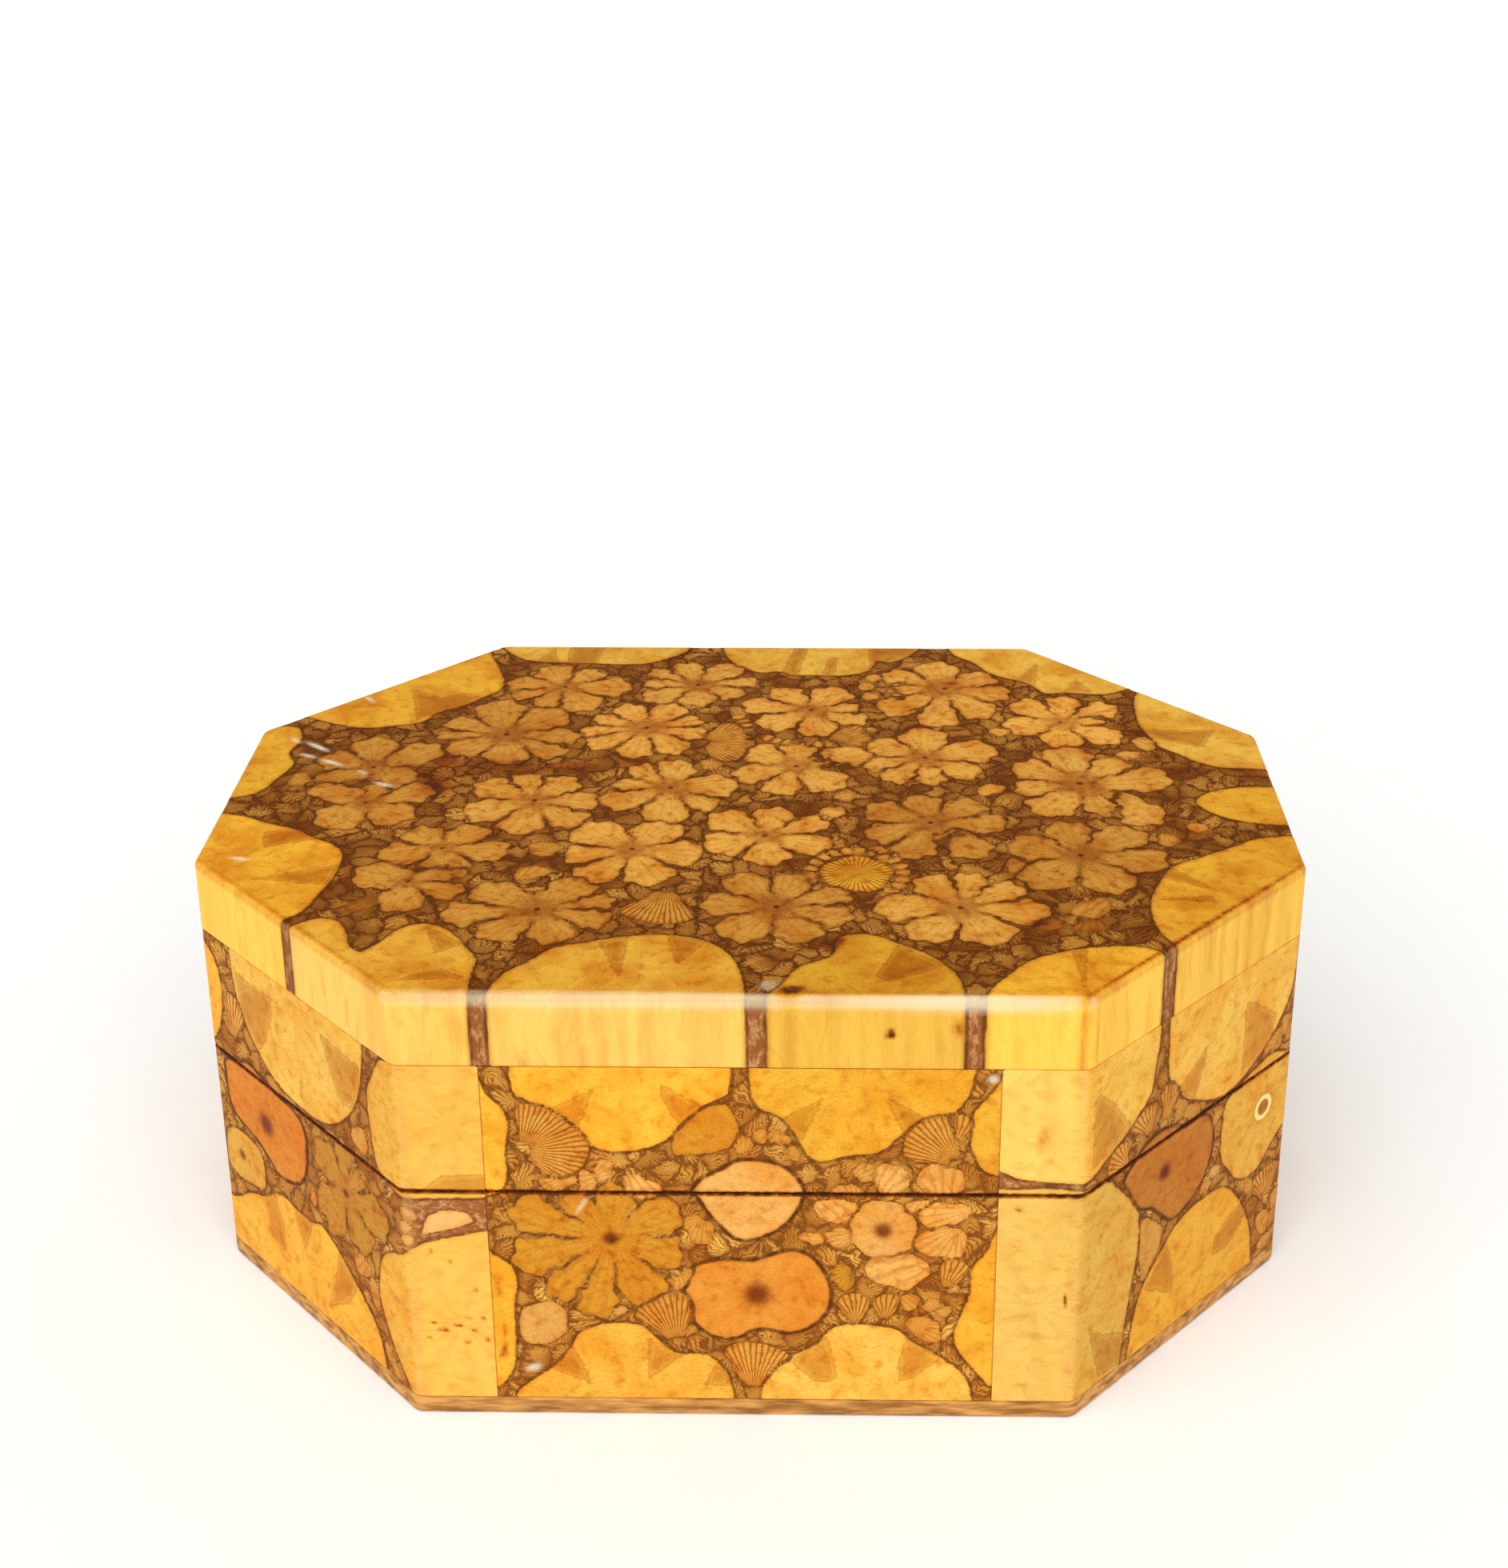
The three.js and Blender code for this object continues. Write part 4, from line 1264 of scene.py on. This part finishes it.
boardLook = {
    "light": "#D89E54",
    "dark": "#94602A",
    "perMetre": (150, 500, 900),  # along, across and through the board: its grain runs along the box
    "grainWidth": 0.8,  # mm, were it 1000 per metre
    "rough": 0.5,
    "film": 0.15,
    "bump": 0.4,
    "poreDepth": 0.1 * mm,
}


def plainBoard():
    # a thin board of brown hardwood, planed and varnished: fine straight grain along the box
    material, tree, shader = newMaterial("varnished_brown_board")
    place = addNode(tree, "ShaderNodeTexCoord").outputs["Object"]
    stretch = ((0, place), (1, boardLook["perMetre"]))
    drawn = addNode(tree, "ShaderNodeVectorMath", stretch, operation="MULTIPLY").outputs[0]
    fine = (("Vector", drawn), ("Scale", 1 / boardLook["grainWidth"]), ("Detail", 4.0))
    grain = addNode(tree, "ShaderNodeTexNoise", fine).outputs["Fac"]
    share = addNode(tree, "ShaderNodeMapRange", ((0, grain), (1, 0.38), (2, 0.64))).outputs[0]
    tones = ((0, share), (6, toLinear(boardLook["light"])), (7, toLinear(boardLook["dark"])))
    colour = addNode(tree, "ShaderNodeMix", tones, data_type="RGBA").outputs[2]
    relief = (("Height", grain), ("Strength", boardLook["bump"]), ("Distance", boardLook["poreDepth"]))
    bump = addNode(tree, "ShaderNodeBump", relief).outputs[0]
    tree.links.new(colour, shader.inputs["Base Color"])
    tree.links.new(bump, shader.inputs["Normal"])
    shader.inputs["Roughness"].default_value = boardLook["rough"]
    shader.inputs["Specular IOR Level"].default_value = boardLook["film"]
    return material


# Camera, light and floor
photo = {
    "size": (1885, 1960),
    "focal": 2793.2,  # pixels
    "axis": (1000, 650),  # where the lens points, in pixels
    "azimuth": 0.87,
    "elevation": 20.75,
    "roll": -0.11,
    "distance": 304.5 * mm,
    "target": (6.74 * mm, 0, 106.12 * mm),
}


def setCamera():
    camera = bpy.data.objects.new("camera", bpy.data.cameras.new("camera"))
    bpy.context.scene.collection.objects.link(camera)
    around, above = math.radians(photo["azimuth"]), math.radians(photo["elevation"])
    level = math.cos(above)
    back = Vector((math.sin(around) * level, -math.cos(around) * level, math.sin(above)))
    facing = (-back).to_track_quat("-Z", "Y").to_matrix().to_4x4()
    roll = Matrix.Rotation(math.radians(photo["roll"]), 4, "Z")
    spot = Vector(photo["target"]) + back * photo["distance"]
    camera.matrix_world = Matrix.Translation(spot) @ facing @ roll
    width, height = photo["size"]
    camera.data.sensor_width = 36
    camera.data.lens = photo["focal"] / height * camera.data.sensor_width
    camera.data.shift_x = (width / 2 - photo["axis"][0]) / height
    camera.data.shift_y = (photo["axis"][1] - height / 2) / height
    camera.data.clip_start = 10 * mm
    bpy.context.scene.camera = camera


studio = {
    "floor": "#FAFAF8",
    "floorSize": 8,
    "floorRough": 0.9,
    "sunPower": 2.5,
    "sunSoftness": 80,  # degrees across, as from a big soft box
    "sunElevation": 52,
    "sunAzimuth": -10,  # from the front, a little to the left
    "fill": "#FFFFFF",
    "fillPower": 0.45,
}


def setStage():
    bpy.ops.mesh.primitive_plane_add(size=studio["floorSize"], location=(0, 0, 0))
    floor = bpy.context.object
    floor.name = "floor"
    material, _, shader = newMaterial("white_floor")
    shader.inputs["Base Color"].default_value = toLinear(studio["floor"])
    shader.inputs["Roughness"].default_value = studio["floorRough"]
    floor.data.materials.append(material)
    floor.select_set(False)
    lamp = bpy.data.lights.new("softLight", "SUN")
    lamp.energy = studio["sunPower"]
    lamp.angle = math.radians(studio["sunSoftness"])
    light = bpy.data.objects.new("softLight", lamp)
    bpy.context.scene.collection.objects.link(light)
    tilt = math.radians(90 - studio["sunElevation"])
    light.rotation_euler = (tilt, 0, math.radians(studio["sunAzimuth"]))
    world = bpy.data.worlds.new("studio")
    world.use_nodes = True
    fill = world.node_tree.nodes["Background"]
    fill.inputs["Color"].default_value = toLinear(studio["fill"])
    fill.inputs["Strength"].default_value = studio["fillPower"]
    bpy.context.scene.world = world
    bpy.context.scene.view_settings.view_transform = "Standard"


setCamera()
setStage()
print("camera and stage set")

wallMaterial = vineSlab("lacquered_vine_slices", wallLook)
# the top's copy of the slab material, darker partly as painted shade
topMaterial = vineSlab("lacquered_vine_slices_browned_shaded", topLook)
boardMaterial = plainBoard()

# Walls: half of the outer face, where its middle is and how far out, where its figure starts
straightWall = {"offset": 0, "zero": 0, "endsShow": False}
longWall = dict(straightWall, outerHalf=longOuterHalf, distance=halfDepth)
shortWall = dict(straightWall, outerHalf=shortOuterHalf, distance=halfLength)
cornerWall = {
    "outerHalf": cornerOuterHalf,
    "distance": cornerDistance,
    "zero": -cornerOuterHalf,
    "endsShow": True,
}
walls = {
    "front": (dict(longWall, turn=0), frontFigure),
    "back": (dict(longWall, turn=math.pi), plainFigure(-42, 42, 31)),
    "right": (dict(shortWall, turn=math.pi / 2), plainFigure(-15, 15, 32)),
    "left": (dict(shortWall, turn=-math.pi / 2), plainFigure(-14, 16, 33)),
    "front_right": (dict(cornerWall, turn=math.pi / 4, offset=cornerOffset), rightFigure),
    "front_left": (dict(cornerWall, turn=-math.pi / 4, offset=-cornerOffset), leftFigure),
    "back_right": (dict(cornerWall, turn=3 * math.pi / 4, offset=-cornerOffset), plainFigure(-6, 52, 34)),
    "back_left": (dict(cornerWall, turn=-3 * math.pi / 4, offset=cornerOffset), plainFigure(-8, 51, 35)),
}
wholeWall = 90  # mm either way, past the ends of any wall
# painted shade along the seam between lid and base, laid on as a dark mark
seamShadeStrength = 0.9
for i, (side, (spec, figure)) in enumerate(walls.items()):
    seed = 1000 + 200 * i
    seamShadeMark = (-spec["zero"] / mm, seamHeight / mm, wholeWall, boxShape["seamShade"] / mm, 0, seamShadeStrength)
    figure = dict(figure, mark=(*figure.get("mark", ()), seamShadeMark))
    for level in ("base_wall", "lid_wall"):
        makeWall(f"{level}_{side}", spec, figure, seed, wallMaterial)
    print("wall", side, "made")

topPlate = {
    "cell": boxShape["topCell"],
    "radius": boxShape["topRadius"],
    "side": 1,
    "rollSteps": 5,
    "edgeSteps": 14,  # enough for the marks on its edge
}
topSeed = 5000
lidTop, faceZ = makePlate("lid_top", topPlate)
points = verticesOf(lidTop.data)
place = np.c_[points[:, :2], faceZ - points[:, 2]] / mm
layFigure(lidTop, topFigure, place, topSeed, boxShape["topTone"], boxShape["topEdgeTone"])
finishPiece(lidTop, "lid_top", topMaterial)
print("lid top made")

boardPlate = {
    "cell": boxShape["boardCell"],
    "radius": boxShape["boardRadius"],
    "side": -1,
    "rollSteps": 4,
    "edgeSteps": 1,
}
board = makePlate("base_board", boardPlate)[0]
finishPiece(board, "base_board", boardMaterial)
print("base board made")
